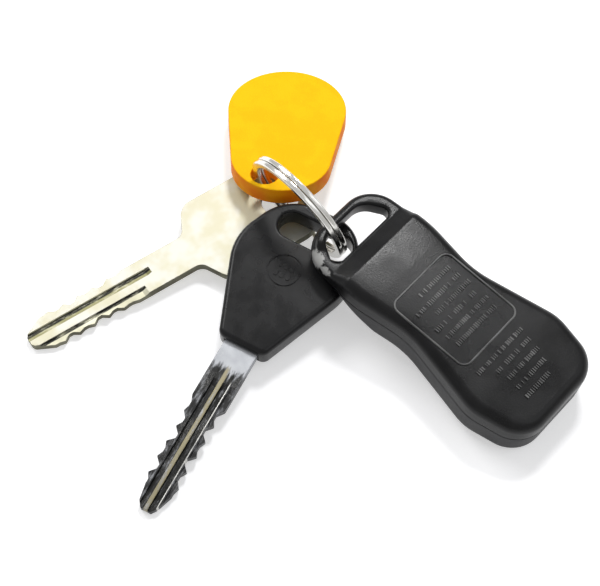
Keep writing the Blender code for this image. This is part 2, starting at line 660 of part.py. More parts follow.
def button_places():
    """Name and centre of each button in its two-by-two group."""
    for i, name in enumerate(BUTTON_NAMES):
        yield (name, BUTTON_X + (i // 2 - 0.5) * (BUTTON_LENGTH + BUTTON_SPACE_X),
               MIDLINE + (i % 2 - 0.5) * (BUTTON_WIDTH + BUTTON_SPACE_Y))


def button_outline(x, y, grow):
    """Rounded key shape round a centre."""
    size = (BUTTON_LENGTH + 2 * grow, BUTTON_WIDTH + 2 * grow)
    return rounded_box((x, y), size, BUTTON_CORNER + grow)


POST_PLACES = [(POST_FRONT_X, MIDLINE - POST_FRONT_SIDE),
               (POST_FRONT_X, MIDLINE + POST_FRONT_SIDE),
               (REMOTE_REACH - POST_TAIL_INSET, MIDLINE - POST_TAIL_SIDE),
               (REMOTE_REACH - POST_TAIL_INSET, MIDLINE + POST_TAIL_SIDE)]


def build_covers():
    """Back cover with the loop, and front cover with the button windows."""
    outline = remote_outline()
    far = OUTSIDE
    cavity = remote_solid("cavity_upper", inset(outline, REMOTE_WALL), LEDGE_TOP, INNER_TOP, REMOTE_WALL)
    boolean(cavity, block("cavity_loop_stop", (-far, -far, -far), (LOOP_ROOT + 4 * MM, far, far),
                          remote_frame))
    well = remote_solid("cavity_lower", inset(outline, REMOTE_WALL + LEDGE), INNER_FLOOR,
                        LEDGE_TOP + 0.5 * MM, REMOTE_WALL + 0.5 * MM)
    below = block("below_parting", (LOOP_ROOT, -far, -far), (far * 2, far, PARTING), remote_frame)
    above = block("above_parting", (-far, -far, PARTING - GAP), (far * 2, far, far), remote_frame)
    loop_side = block("loop_side", (-far, -far, -far), (LOOP_ROOT + GAP, far, far), remote_frame)

    back = remote_solid("remote_back_cover", outline, REMOTE_BOTTOM, REMOTE_TOP, 0.0, CASE_PLASTIC)
    round_first(back, REMOTE_EDGE)
    boolean(back, below)
    boolean(back, cavity)
    boolean(back, plate("loop_hole", loop_hole_outline(), -far / 4, far / 4, remote_frame))

    front = remote_solid("remote_front_cover", outline, REMOTE_BOTTOM, REMOTE_TOP, 0.0, CASE_PLASTIC)
    round_first(front, REMOTE_EDGE)
    boolean(front, above)
    boolean(front, loop_side)
    boolean(front, cavity)
    boolean(front, well)
    for name, x, y in button_places():
        window = plate("window_" + name, button_outline(x, y, BUTTON_CLEARANCE),
                       REMOTE_BOTTOM - MM, INNER_FLOOR + 0.2 * MM, remote_frame)
        boolean(front, window)
    boolean(front, disc("led_window", (LED_X, MIDLINE), LED_DIAMETER + 2 * GAP, REMOTE_BOTTOM - MM,
                        INNER_FLOOR + 0.2 * MM, remote_frame, sides=16))
    for i, (x, y) in enumerate(POST_PLACES):
        post = disc("board_post_%d" % i, (x, y), POST_DIAMETER, INNER_FLOOR - 0.5 * MM,
                    BOARD_BOTTOM - GAP, remote_frame, sides=12)
        boolean(front, post, "UNION")


def round_first(obj, radius):
    """Round the slab's rims before the cuts that are already on it."""
    round_edges(obj, radius)
    obj.modifiers.move(len(obj.modifiers) - 1, 0)


def build_buttons():
    """Key caps with a flange under the cover and a plunger over each switch."""
    for name, x, y in button_places():
        bottom = REMOTE_BOTTOM + BUTTON_RECESS
        cap = plate("button_" + name, button_outline(0, 0, 0), 0, FLANGE_TOP - bottom,
                    remote_frame, BUTTON_RUBBER)
        cap.location = (x, y, bottom)
        flange = plate("flange_" + name, button_outline(x, y, BUTTON_CLEARANCE + BUTTON_FLANGE / 2),
                       FLANGE_BOTTOM, FLANGE_TOP, remote_frame)
        boolean(cap, flange, "UNION")
        plunger = disc("plunger_" + name, (x, y), PLUNGER_DIAMETER, FLANGE_TOP - 0.2 * MM,
                       MAT_TOP - 0.1 * MM, remote_frame, sides=12)
        boolean(cap, plunger, "UNION")


def trimmed(obj, name, start):
    """Cut everything on the loop's side of a length off a piece of the remote."""
    far = OUTSIDE
    boolean(obj, block(name, (-far, -far, -far), (start, far, far), remote_frame))


def build_inside():
    """Rubber mat, board and what is soldered on it, cell and its contacts."""
    inner = inset(remote_outline(), REMOTE_WALL + GAP)
    mat = plate("keypad_mat", inner, MAT_BOTTOM, MAT_TOP, remote_frame, MAT_RUBBER)
    board = plate("circuit_board", inner, BOARD_BOTTOM, BOARD_TOP, remote_frame, BOARD_LAMINATE)
    trimmed(mat, "mat_trim", MAT_START)
    trimmed(board, "board_trim", BOARD_START)
    mat_holes = [("post_%d" % i, x, y, POST_DIAMETER) for i, (x, y) in enumerate(POST_PLACES)]
    mat_holes += [(name, x, y, PLUNGER_DIAMETER) for name, x, y in button_places()]
    mat_holes.append(("led", LED_X, MIDLINE, LED_DIAMETER))
    for name, x, y, diameter in mat_holes:
        boolean(mat, disc("mat_hole_" + name, (x, y), diameter + 2 * GAP, MAT_BOTTOM - MM,
                          MAT_TOP + MM, remote_frame, sides=12))

    top = BOARD_BOTTOM - GAP
    half = SWITCH_SIZE / 2
    for i, (_, x, y) in enumerate(button_places()):
        switch = block("switch_%d" % (i + 1), (x - half, y - half, top - SWITCH_HEIGHT),
                       (x + half, y + half, top), remote_frame, CHIP_EPOXY)
        boolean(switch, disc("switch_stem_%d" % (i + 1), (x, y), STEM_DIAMETER,
                             top - SWITCH_HEIGHT - STEM_HEIGHT, top - SWITCH_HEIGHT / 2,
                             remote_frame, sides=12), "UNION")
    disc("led", (LED_X, MIDLINE), LED_DIAMETER, REMOTE_BOTTOM + BUTTON_RECESS, top, remote_frame,
         LED_LENS, sides=16)

    base = BOARD_TOP + GAP
    x, y = CHIP_X, MIDLINE - CHIP_SIDE
    length, width, height = CHIP_SIZE
    block("radio_chip", (x, y - width, base), (x + length, y, base + height), remote_frame,
          CHIP_EPOXY)
    length, width, height = CRYSTAL_SIZE
    can = rounded_box((CHIP_X + length / 2, MIDLINE + CHIP_SIDE + width / 2), (length, width),
                      CRYSTAL_CORNER)
    plate("crystal", can, base, base + height, remote_frame, CELL_STEEL)

    disc("battery_contact_minus", (CELL_X, MIDLINE), PAD_DIAMETER, base,
         base + CONTACT_THICKNESS, remote_frame, CONTACT_METAL, sides=16)
    cell_bottom = base + CONTACT_THICKNESS + GAP
    cell = disc("coin_cell", (CELL_X, MIDLINE), CELL_DIAMETER, cell_bottom,
                cell_bottom + CELL_THICKNESS, remote_frame, CELL_STEEL, sides=40)
    round_edges(cell, CELL_EDGE, 1)
    strap_bottom = cell_bottom + CELL_THICKNESS + GAP
    left = CELL_X - CELL_DIAMETER / 2 - STRAP_AWAY
    side = STRAP_WIDTH / 2
    strap = block("battery_contact_plus", (left, MIDLINE - side, strap_bottom),
                  (CELL_X + STRAP_PAST, MIDLINE + side, strap_bottom + CONTACT_THICKNESS),
                  remote_frame, CONTACT_METAL)
    leg = block("strap_leg", (left, MIDLINE - side, base),
                (left + CONTACT_THICKNESS * 2, MIDLINE + side,
                 strap_bottom + CONTACT_THICKNESS / 2), remote_frame)
    boolean(strap, leg, "UNION")


build_ring()
build_tag()
build_plain_key()
build_car_key()
build_covers()
build_buttons()
build_inside()


def stand_on_floor():
    """Move the group so that the origin is under the middle of its box."""
    bpy.context.view_layer.update()
    graph = bpy.context.evaluated_depsgraph_get()
    low, high = Vector((1e9,) * 3), Vector((-1e9,) * 3)
    for obj in PARTS.objects:
        if obj.type != "MESH":
            continue
        solid = obj.evaluated_get(graph)
        mesh = solid.to_mesh()
        for vertex in mesh.vertices:
            place = solid.matrix_world @ vertex.co
            low = Vector(map(min, low, place))
            high = Vector(map(max, high, place))
        solid.to_mesh_clear()
    root.location = (-(low.x + high.x) / 2, -(low.y + high.y) / 2, -low.z)
    bpy.context.view_layer.update()


stand_on_floor()
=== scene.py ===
"""Loaded split key ring, dressed for rendering.

A two-turn split ring carries an egg-shaped tag, a plain cut key, a key with a
moulded head and a four-button remote.  Each item is built flat in its own
frame: the origin is the point where the ring's wire passes through it, X runs
to its far end and Z is its upper side.  All lengths are metres.
"""

import json
import logging
from dataclasses import dataclass, field
from enum import Enum
from math import asin, ceil, cos, pi, radians, sin, tan, tau
from typing import Callable, Iterable, Optional, Sequence

import bmesh
import bpy
from mathutils import Matrix, Vector

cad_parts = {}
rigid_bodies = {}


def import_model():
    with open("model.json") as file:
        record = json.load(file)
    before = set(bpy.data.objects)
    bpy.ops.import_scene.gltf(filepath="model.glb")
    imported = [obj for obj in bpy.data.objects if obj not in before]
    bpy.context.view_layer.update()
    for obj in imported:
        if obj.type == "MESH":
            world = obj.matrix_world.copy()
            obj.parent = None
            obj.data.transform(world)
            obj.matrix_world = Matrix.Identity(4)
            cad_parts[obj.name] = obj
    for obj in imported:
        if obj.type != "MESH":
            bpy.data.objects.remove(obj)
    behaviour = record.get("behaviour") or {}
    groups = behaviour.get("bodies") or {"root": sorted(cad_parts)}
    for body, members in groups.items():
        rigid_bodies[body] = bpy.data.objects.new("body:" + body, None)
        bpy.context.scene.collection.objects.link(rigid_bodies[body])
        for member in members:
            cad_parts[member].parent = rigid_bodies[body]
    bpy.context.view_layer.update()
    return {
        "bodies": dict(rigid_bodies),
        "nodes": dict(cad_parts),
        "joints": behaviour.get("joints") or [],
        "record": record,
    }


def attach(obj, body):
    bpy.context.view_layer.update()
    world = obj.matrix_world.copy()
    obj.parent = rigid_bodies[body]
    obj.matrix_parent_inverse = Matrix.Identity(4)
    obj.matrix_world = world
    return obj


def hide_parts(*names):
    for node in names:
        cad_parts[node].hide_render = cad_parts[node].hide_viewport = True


MM = 0.001
LOG = logging.getLogger("key_ring")

Point = tuple[float, float]
Corner = tuple[float, float, float]
Colour = tuple[float, float, float]


# ---------------------------------------------------------------- outlines


def rounded_polygon(corners: Sequence[Corner], step: float = radians(5)) -> list[Point]:
    """Closed outline with a fillet at every corner.

    Args:
        corners: x, y and fillet radius of each corner.
        step: longest arc between two points of a fillet.

    Returns:
        The outline's points in the corners' order.
    """
    outline: list[Vector] = []
    for i, (x, y, radius) in enumerate(corners):
        corner = Vector((x, y))
        before = (Vector(corners[i - 1][:2]) - corner).normalized()
        after = (Vector(corners[(i + 1) % len(corners)][:2]) - corner).normalized()
        opening = before.angle(after)
        if radius <= 0 or opening > pi - 0.01:
            outline.append(corner)
            continue
        centre = corner + (before + after).normalized() * radius / sin(opening / 2)
        start = corner + before * radius / tan(opening / 2) - centre
        end = corner + after * radius / tan(opening / 2) - centre
        sweep = start.angle_signed(end)
        steps = max(2, ceil(abs(sweep) / step))
        outline += [centre + Matrix.Rotation(-sweep * k / steps, 2) @ start
                    for k in range(steps + 1)]
    return [(p.x, p.y) for p in outline]


def mirrored(corners: Sequence[Corner], middle: float = 0.0) -> list[Corner]:
    """Corners of the -Y side, from -X to +X, followed by their mirror image.

    Args:
        corners: x, distance from the middle line and fillet radius.
        middle: y of the middle line.

    Returns:
        The corners of the whole outline, anticlockwise.
    """
    upper = [(x, middle + y, r) for x, y, r in reversed(corners)]
    return [(x, middle - y, r) for x, y, r in corners] + upper


def circle(centre: Point, diameter: float, sides: int = 48) -> list[Point]:
    """Points of a circle, anticlockwise.

    Args:
        centre: its centre.
        diameter: its diameter.
        sides: number of points.

    Returns:
        The points.
    """
    return [(centre[0] + diameter / 2 * cos(tau * k / sides),
             centre[1] + diameter / 2 * sin(tau * k / sides)) for k in range(sides)]


def box_outline(centre: Point, size: Point, fillet: float) -> list[Point]:
    """Rounded rectangle, anticlockwise.

    Args:
        centre: its centre.
        size: its size along X and Y.
        fillet: radius of its corners.

    Returns:
        The points.
    """
    x, y = centre
    half_x, half_y = size[0] / 2, size[1] / 2
    radius = min(fillet, 0.999 * min(half_x, half_y))
    return rounded_polygon([(x - half_x, y - half_y, radius), (x + half_x, y - half_y, radius),
                            (x + half_x, y + half_y, radius), (x - half_x, y + half_y, radius)])


def inset(outline: Sequence[Point], distance: float) -> list[Point]:
    """Anticlockwise outline moved inwards.

    Args:
        outline: the points.
        distance: how far they move; a negative distance grows the outline.

    Returns:
        The moved points.
    """
    result = []
    count = len(outline)
    for i in range(count):
        before = Vector(outline[i]) - Vector(outline[i - 1])
        after = Vector(outline[(i + 1) % count]) - Vector(outline[i])
        normal_a = Vector((-before.y, before.x)).normalized()
        normal_b = Vector((-after.y, after.x)).normalized()
        middle = (normal_a + normal_b).normalized()
        moved = Vector(outline[i]) + middle * distance / max(0.3, middle.dot(normal_a))
        result.append((moved.x, moved.y))
    return result


def bitted_edge(start: float, end: float, half_width: float, depths: Sequence[float],
                side: int) -> list[Corner]:
    """Cut edge of a key from the bow to the tip, with softened corners.

    Args:
        start: x of the first cut.
        end: x of the last cut's end.
        half_width: half the blade's width.
        depths: depth of each cut.
        side: 1 for the +Y edge, -1 for the -Y edge.

    Returns:
        Corners with small fillets.
    """
    pitch = (end - start) / len(depths)
    flat_start, flat_end, crest_place, soft = 0.42, 0.68, 1.05, 0.35 * MM
    corners = [(start, side * half_width, 0.8 * MM)]
    for i, depth in enumerate(depths):
        x = start + pitch * i
        y = side * (half_width - depth)
        corners += [(x + flat_start * pitch, y, soft), (x + flat_end * pitch, y, soft)]
        if i < len(depths) - 1:
            crest = min(depth, depths[i + 1]) * 0.35
            corners.append((x + crest_place * pitch, side * (half_width - crest), soft))
    return corners


# ---------------------------------------------------------------- meshes


def shade(mesh: bpy.types.Mesh, crease: float = radians(35)) -> bpy.types.Mesh:
    """Smooth shading with sharp creases and flat caps.

    Args:
        mesh: the mesh in its item's frame.
        crease: edges sharper than this stay sharp.

    Returns:
        The same mesh.
    """
    mesh.shade_smooth()
    mesh.set_sharp_from_angle(angle=crease)
    for face in mesh.polygons:
        if abs(face.normal.z) > 0.9999:
            face.use_smooth = False
    return mesh


def evaluated_mesh(obj: bpy.types.Object) -> bpy.types.Mesh:
    """Plain mesh of an object with its modifiers applied; the object is removed.

    Args:
        obj: any object that has a surface.

    Returns:
        The new mesh.
    """
    bpy.context.view_layer.update()
    graph = bpy.context.evaluated_depsgraph_get()
    mesh = bpy.data.meshes.new_from_object(obj.evaluated_get(graph), depsgraph=graph)
    bpy.data.objects.remove(obj, do_unlink=True)
    return mesh


def scratch_object(name: str, data: bpy.types.ID) -> bpy.types.Object:
    """Object in the scene for work in progress."""
    obj = bpy.data.objects.new(name, data)
    bpy.context.scene.collection.objects.link(obj)
    return obj


def plate(loops: Sequence[Sequence[Point]], bottom: float, top: float, rounding: float = 0.0,
          steps: int = 3) -> bpy.types.Mesh:
    """Flat solid with a closed outline, holes and rounded rims.

    Args:
        loops: the outer outline, then the holes, all anticlockwise.
        bottom: height of the lower face.
        top: height of the upper face.
        rounding: radius of the rims.
        steps: roundness of the rims.

    Returns:
        The mesh.
    """
    curve = bpy.data.curves.new("plate", "CURVE")
    curve.dimensions = "2D"
    curve.fill_mode = "BOTH"
    curve.extrude = (top - bottom) / 2 - rounding
    curve.bevel_depth = rounding
    curve.bevel_resolution = steps
    for i, loop in enumerate(loops):
        inner = inset(loop, rounding if i == 0 else -rounding)
        points = inner if i == 0 else inner[::-1]
        spline = curve.splines.new("POLY")
        spline.points.add(len(points) - 1)
        for point, (x, y) in zip(spline.points, points):
            point.co = (x, y, 0.0, 1.0)
        spline.use_cyclic_u = True
    mesh = evaluated_mesh(scratch_object("plate", curve))
    work = bmesh.new()
    work.from_mesh(mesh)
    bmesh.ops.remove_doubles(work, verts=work.verts, dist=0.0005 * MM)
    bmesh.ops.translate(work, verts=work.verts, vec=(0, 0, (top + bottom) / 2))
    bmesh.ops.recalc_face_normals(work, faces=work.faces)
    work.to_mesh(mesh)
    work.free()
    return shade(mesh)


def block(low: Sequence[float], high: Sequence[float]) -> bpy.types.Mesh:
    """Box between two corners, for cutting.

    Args:
        low: lowest corner.
        high: highest corner.

    Returns:
        The mesh.
    """
    mesh = bpy.data.meshes.new("block")
    work = bmesh.new()
    size = [high[i] - low[i] for i in range(3)]
    middle = [(high[i] + low[i]) / 2 for i in range(3)]
    bmesh.ops.create_cube(work, size=1.0,
                          matrix=Matrix.Translation(middle) @ Matrix.Diagonal((*size, 1.0)))
    work.to_mesh(mesh)
    work.free()
    return mesh


def trough(start: float, end: float, centre: float, width: float, depth: float, face: float,
           flare: float, run_out: float) -> bpy.types.Mesh:
    """Cutter for a milled groove with sloping walls and a run-out at its start.

    Args:
        start: x where the groove begins.
        end: x where it ends.
        centre: y of its middle.
        width: width of its floor.
        depth: depth below the face; negative for the lower face.
        face: height of the face it is cut in.
        flare: how much wider each wall gets up to the face.
        run_out: length over which the cutter leaves the metal.

    Returns:
        The cutter's mesh.
    """
    side = 1 if depth > 0 else -1
    above, thin, narrowing = 0.5 * MM, 0.05 * MM, 0.6
    clear = face + side * above
    floor = face - depth
    top = width / 2 + flare * (1 + above / abs(depth))
    rows = ((start, top * narrowing, clear - side * thin), (start + run_out, width / 2, floor),
            (end, width / 2, floor))
    mesh = bpy.data.meshes.new("trough")
    work = bmesh.new()
    sections = [[work.verts.new((x, centre + y, z)) for y, z in
                 ((-top, clear), (-low, bottom), (low, bottom), (top, clear))]
                for x, low, bottom in rows]
    for a, b in zip(sections, sections[1:]):
        for k in range(4):
            work.faces.new((a[k], a[(k + 1) % 4], b[(k + 1) % 4], b[k]))
    work.faces.new(sections[0])
    work.faces.new(sections[-1][::-1])
    bmesh.ops.recalc_face_normals(work, faces=work.faces)
    work.to_mesh(mesh)
    work.free()
    return mesh


def hourglass(outline: Sequence[Point], face: float, rounding: float) -> bpy.types.Mesh:
    """Cutter for a through hole, wider at both faces so that its rims are round.

    Args:
        outline: the hole's narrowest outline, anticlockwise.
        face: distance of both faces from the middle plane.
        rounding: radius of the rims.

    Returns:
        The cutter's mesh.
    """
    steps = 5
    levels = [(-3 * face, 1.0)]
    levels += [(-face + rounding * (1 - cos(k * pi / 2 / steps)), 1 - sin(k * pi / 2 / steps))
               for k in range(steps + 1)]
    levels += [(-z, share) for z, share in reversed(levels)]
    work = bmesh.new()
    rows = [[work.verts.new((x, y, z)) for x, y in inset(outline, -rounding * share)]
            for z, share in levels]
    count = len(outline)
    for a, b in zip(rows, rows[1:]):
        for k in range(count):
            n = (k + 1) % count
            work.faces.new((a[k], a[n], b[n], b[k]))
    work.faces.new(rows[0][::-1])
    work.faces.new(rows[-1])
    bmesh.ops.recalc_face_normals(work, faces=work.faces)
    mesh = bpy.data.meshes.new("hourglass")
    work.to_mesh(mesh)
    work.free()
    mesh.shade_smooth()
    return mesh


class Cut(Enum):
    """How a second solid changes the first."""

    AWAY = "DIFFERENCE"
    JOIN = "UNION"
    COMMON = "INTERSECT"


def carve(mesh: bpy.types.Mesh, steps: Iterable[tuple[Cut, bpy.types.Mesh]]) -> bpy.types.Mesh:
    """Apply solid operations one after another.

    Args:
        mesh: the first solid.
        steps: pairs of an operation and the solid it uses.

    Returns:
        The resulting mesh.
    """
    obj = scratch_object("work", mesh)
    cutters = []
    for kind, other in steps:
        cutter = scratch_object("cutter", other)
        cutters.append(cutter)
        modifier = obj.modifiers.new("cut", "BOOLEAN")
        modifier.operation = kind.value
        modifier.object = cutter
        modifier.solver = "EXACT"
    result = evaluated_mesh(obj)
    for cutter in cutters:
        bpy.data.objects.remove(cutter, do_unlink=True)
    return result


def joined(meshes: Sequence[bpy.types.Mesh]) -> bpy.types.Mesh:
    """One mesh from several that do not touch.

    Args:
        meshes: the meshes, all in one frame.

    Returns:
        The joined mesh.
    """
    result = bpy.data.meshes.new("joined")
    work = bmesh.new()
    for mesh in meshes:
        work.from_mesh(mesh)
    work.to_mesh(result)
    work.free()
    return result


# ---------------------------------------------------------------- shader building


class Wiring:
    """Short hand for filling a node tree."""

    def __init__(self, tree: bpy.types.NodeTree) -> None:
        """Work on a tree."""
        self.tree = tree

    def add(self, kind: str, **settings: object) -> bpy.types.Node:
        """Add a node and set its properties.

        Args:
            kind: the node's type name.
            settings: properties by name.

        Returns:
            The node.
        """
        node = self.tree.nodes.new(kind)
        for name, value in settings.items():
            setattr(node, name, value)
        return node

    def feed(self, socket: bpy.types.NodeSocket, source: object) -> None:
        """Link a socket to another, or set its value.

        Args:
            socket: an input socket.
            source: an output socket, a number, a colour or a vector.
        """
        if isinstance(source, bpy.types.NodeSocket):
            self.tree.links.new(source, socket)
        else:
            socket.default_value = source

    def math(self, operation: str, *values: object, clamp: bool = False) -> bpy.types.NodeSocket:
        """Math node.

        Args:
            operation: its operation.
            values: sockets or numbers.
            clamp: keep the result between 0 and 1.

        Returns:
            The result.
        """
        node = self.add("ShaderNodeMath", operation=operation, use_clamp=clamp)
        for socket, value in zip(node.inputs, values):
            self.feed(socket, value)
        return node.outputs[0]

    def ramp(self, value: object, low: float, high: float) -> bpy.types.NodeSocket:
        """Smooth step from 0 at low to 1 at high.

        Args:
            value: the driving socket.
            low: where the result is 0.
            high: where the result is 1.

        Returns:
            The result.
        """
        node = self.add("ShaderNodeMapRange", interpolation_type="SMOOTHSTEP")
        self.feed(node.inputs["Value"], value)
        node.inputs["From Min"].default_value = low
        node.inputs["From Max"].default_value = high
        return node.outputs["Result"]

    def noise(self, vector: object, scale: object, detail: float = 4.0,
              roughness: float = 0.55) -> bpy.types.NodeSocket:
        """Noise value.

        Args:
            vector: where it is sampled.
            scale: features per metre.
            detail: octaves.
            roughness: weight of the fine octaves.

        Returns:
            The value.
        """
        node = self.add("ShaderNodeTexNoise")
        self.feed(node.inputs["Vector"], vector)
        self.feed(node.inputs["Scale"], scale)
        node.inputs["Detail"].default_value = detail
        node.inputs["Roughness"].default_value = roughness
        return node.outputs["Fac"]

    def mix(self, share: object, first: object, second: object) -> bpy.types.NodeSocket:
        """Mix two colours.

        Args:
            share: 0 for the first, 1 for the second.
            first: a colour or a socket.
            second: a colour or a socket.

        Returns:
            The mixed colour.
        """
        node = self.add("ShaderNodeMix", data_type="RGBA", clamp_factor=True)
        self.feed(node.inputs["Factor"], share)
        for socket, value in zip((node.inputs[6], node.inputs[7]), (first, second)):
            self.feed(socket, value if isinstance(value, bpy.types.NodeSocket) else (*value, 1.0))
        return node.outputs[2]

    def group(self, tree: bpy.types.NodeTree, **values: object) -> bpy.types.Node:
        """Place a node group.

        Args:
            tree: the group.
            values: its inputs by name, with underscores for spaces.

        Returns:
            The group node.
        """
        node = self.add("ShaderNodeGroup", node_tree=tree)
        for name, value in values.items():
            self.feed(node.inputs[name.replace("_", " ")], value)
        return node


def new_group(name: str, inputs: dict[str, str], outputs: dict[str, str]
              ) -> tuple[Wiring, bpy.types.Node, bpy.types.Node]:
    """Empty shader node group with named sockets.

    Args:
        name: the group's name.
        inputs: socket types by name.
        outputs: socket types by name.

    Returns:
        Its wiring, its input node and its output node.
    """
    tree = bpy.data.node_groups.new(name, "ShaderNodeTree")
    for label, kind in inputs.items():
        tree.interface.new_socket(label, in_out="INPUT", socket_type=kind)
    for label, kind in outputs.items():
        tree.interface.new_socket(label, in_out="OUTPUT", socket_type=kind)
    wiring = Wiring(tree)
    return wiring, wiring.add("NodeGroupInput"), wiring.add("NodeGroupOutput")


NUMBER, VECTOR, COLOUR = "NodeSocketFloat", "NodeSocketVector", "NodeSocketColor"


class Effects:
    """Shader node groups that several finishes share."""

    def __init__(self) -> None:
        """Build every group once."""
        self.grain = self._grain()
        self.scratches = self._scratches()
        self.band = self._band()
        self.spot = self._spot()

    @staticmethod
    def _grain() -> bpy.types.NodeTree:
        """Fine moulded or sanded grain and a slow variation."""
        w, given, out = new_group("fine_grain", {"Vector": VECTOR, "Scale": NUMBER},
                                  {"Height": NUMBER, "Slow": NUMBER})
        fine = w.noise(given.outputs["Vector"], given.outputs["Scale"], 3.0, 0.6)
        slow_scale = w.math("MULTIPLY", given.outputs["Scale"], 0.06)
        w.feed(out.inputs["Height"], fine)
        w.feed(out.inputs["Slow"], w.noise(given.outputs["Vector"], slow_scale, 2.0))
        return w.tree

    @staticmethod
    def _scratches() -> bpy.types.NodeTree:
        """Thin lines where handling has marked the surface."""
        w, given, out = new_group("handling_scratches",
                                  {"Vector": VECTOR, "Scale": NUMBER, "Amount": NUMBER},
                                  {"Mask": NUMBER})
        layers = []
        for turn, stretch in ((0.6, 14.0), (2.1, 9.0)):
            mapping = w.add("ShaderNodeMapping")
            w.feed(mapping.inputs["Vector"], given.outputs["Vector"])
            mapping.inputs["Rotation"].default_value = (0.0, 0.0, turn)
            mapping.inputs["Scale"].default_value = (1.0, stretch, 1.0)
            value = w.noise(mapping.outputs["Vector"], given.outputs["Scale"], 2.0)
            layers.append(w.ramp(w.math("ABSOLUTE", w.math("SUBTRACT", value, 0.5)), 0.012, 0.0))
        patch = w.ramp(w.noise(given.outputs["Vector"], 160.0, 2.0), 0.45, 0.62)
        lines = w.math("MAXIMUM", *layers)
        w.feed(out.inputs["Mask"], w.math("MULTIPLY", w.math("MULTIPLY", lines, patch),
                                          given.outputs["Amount"], clamp=True))
        return w.tree

    @staticmethod
    def _band() -> bpy.types.NodeTree:
        """1 inside a band of a coordinate, 0 outside."""
        w, given, out = new_group("band", {"Value": NUMBER, "Centre": NUMBER, "Half": NUMBER,
                                           "Soft": NUMBER}, {"Mask": NUMBER})
        away = w.math("ABSOLUTE", w.math("SUBTRACT", given.outputs["Value"],
                                         given.outputs["Centre"]))
        past = w.math("DIVIDE", w.math("SUBTRACT", away, given.outputs["Half"]),
                      given.outputs["Soft"])
        w.feed(out.inputs["Mask"], w.math("SUBTRACT", 1.0, past, clamp=True))
        return w.tree

    @staticmethod
    def _spot() -> bpy.types.NodeTree:
        """Ragged round patch of wear about a point."""
        w, given, out = new_group("worn_spot", {"Vector": VECTOR, "Centre": VECTOR,
                                                "Radius": NUMBER}, {"Mask": NUMBER})
        away = w.add("ShaderNodeVectorMath", operation="DISTANCE")
        w.feed(away.inputs[0], given.outputs["Vector"])
        w.feed(away.inputs[1], given.outputs["Centre"])
        reach = w.math("DIVIDE", away.outputs["Value"], given.outputs["Radius"])
        rough = w.noise(given.outputs["Vector"], 1500.0, 4.0, 0.7)
        w.feed(out.inputs["Mask"], w.ramp(w.math("SUBTRACT", w.math("ADD", rough, 0.45), reach),
                                          0.0, 0.18))
        return w.tree


@dataclass(frozen=True)
class Finish:
    """Plain procedural finish: grain, slow colour change and light scratches."""

    name: str
    colour: Colour
    second: Colour
    roughness: float
    metallic: float = 0.0
    specular: float = 0.5
    grain_scale: float = 5000.0
    grain_height: float = 0.02
    grain_colour: float = 0.0
    scratch: float = 0.0
    scratch_colour: Colour = (0.5, 0.5, 0.5)
    roughness_spread: float = 0.12
    coat: float = 0.0
    local: bool = True

    def place(self, w: Wiring) -> bpy.types.NodeSocket:
        """Coordinates the pattern follows, in the item's own frame."""
        if self.local:
            return w.add("ShaderNodeAttribute", attribute_name="item").outputs["Vector"]
        return w.add("ShaderNodeTexCoord").outputs["Object"]

    def colour_of(self, w: Wiring, where: bpy.types.NodeSocket, effects: Effects,
                  grain: bpy.types.Node) -> bpy.types.NodeSocket:
        """Colour over the surface, before scratches.

        Args:
            w: the material's wiring.
            where: coordinates.
            effects: the shared groups.
            grain: the placed grain group.

        Returns:
            A colour socket.
        """
        share = w.ramp(grain.outputs["Slow"], 0.35, 0.65)
        if self.grain_colour:
            speckle = w.ramp(grain.outputs["Height"], 0.35, 0.65)
            share = w.math("MULTIPLY_ADD", w.math("SUBTRACT", speckle, 0.5), self.grain_colour,
                           share)
        return w.mix(share, self.colour, self.second)

    def roughness_of(self, w: Wiring, where: bpy.types.NodeSocket, effects: Effects,
                     grain: bpy.types.Node) -> bpy.types.NodeSocket:
        """Roughness over the surface.

        Args:
            w: the material's wiring.
            where: coordinates.
            effects: the shared groups.
            grain: the placed grain group.

        Returns:
            A value socket.
        """
        return w.math("MULTIPLY_ADD", w.math("SUBTRACT", grain.outputs["Slow"], 0.5),
                      self.roughness_spread * 2, self.roughness, clamp=True)

    def material(self, effects: Effects) -> bpy.types.Material:
        """Build the material.

        Args:
            effects: the shared groups.

        Returns:
            The material.
        """
        material = bpy.data.materials.new(self.name)
        material.use_nodes = True
        w = Wiring(material.node_tree)
        shader = material.node_tree.nodes["Principled BSDF"]
        shader.inputs["Metallic"].default_value = self.metallic
        shader.inputs["Specular IOR Level"].default_value = self.specular
        shader.inputs["Coat Weight"].default_value = self.coat
        where = self.place(w)
        grain = w.group(effects.grain, Vector=where, Scale=self.grain_scale)
        colour = self.colour_of(w, where, effects, grain)
        roughness = self.roughness_of(w, where, effects, grain)
        if self.scratch:
            lines = w.group(effects.scratches, Vector=where, Scale=700.0, Amount=self.scratch)
            colour = w.mix(lines.outputs["Mask"], colour, self.scratch_colour)
        w.feed(shader.inputs["Base Color"], colour)
        w.feed(shader.inputs["Roughness"], roughness)
        bump = w.add("ShaderNodeBump")
        bump.inputs["Strength"].default_value = 1.0
        bump.inputs["Distance"].default_value = self.grain_height * MM
        w.feed(bump.inputs["Height"], grain.outputs["Height"])
        w.feed(shader.inputs["Normal"], bump.outputs["Normal"])
        return material


@dataclass(frozen=True)
class Band:
    """Coloured stripe along a blade."""

    centre: float
    half: float
    soft: float
    colour: Colour
    strength: float = 1.0
    start: float = 0.0


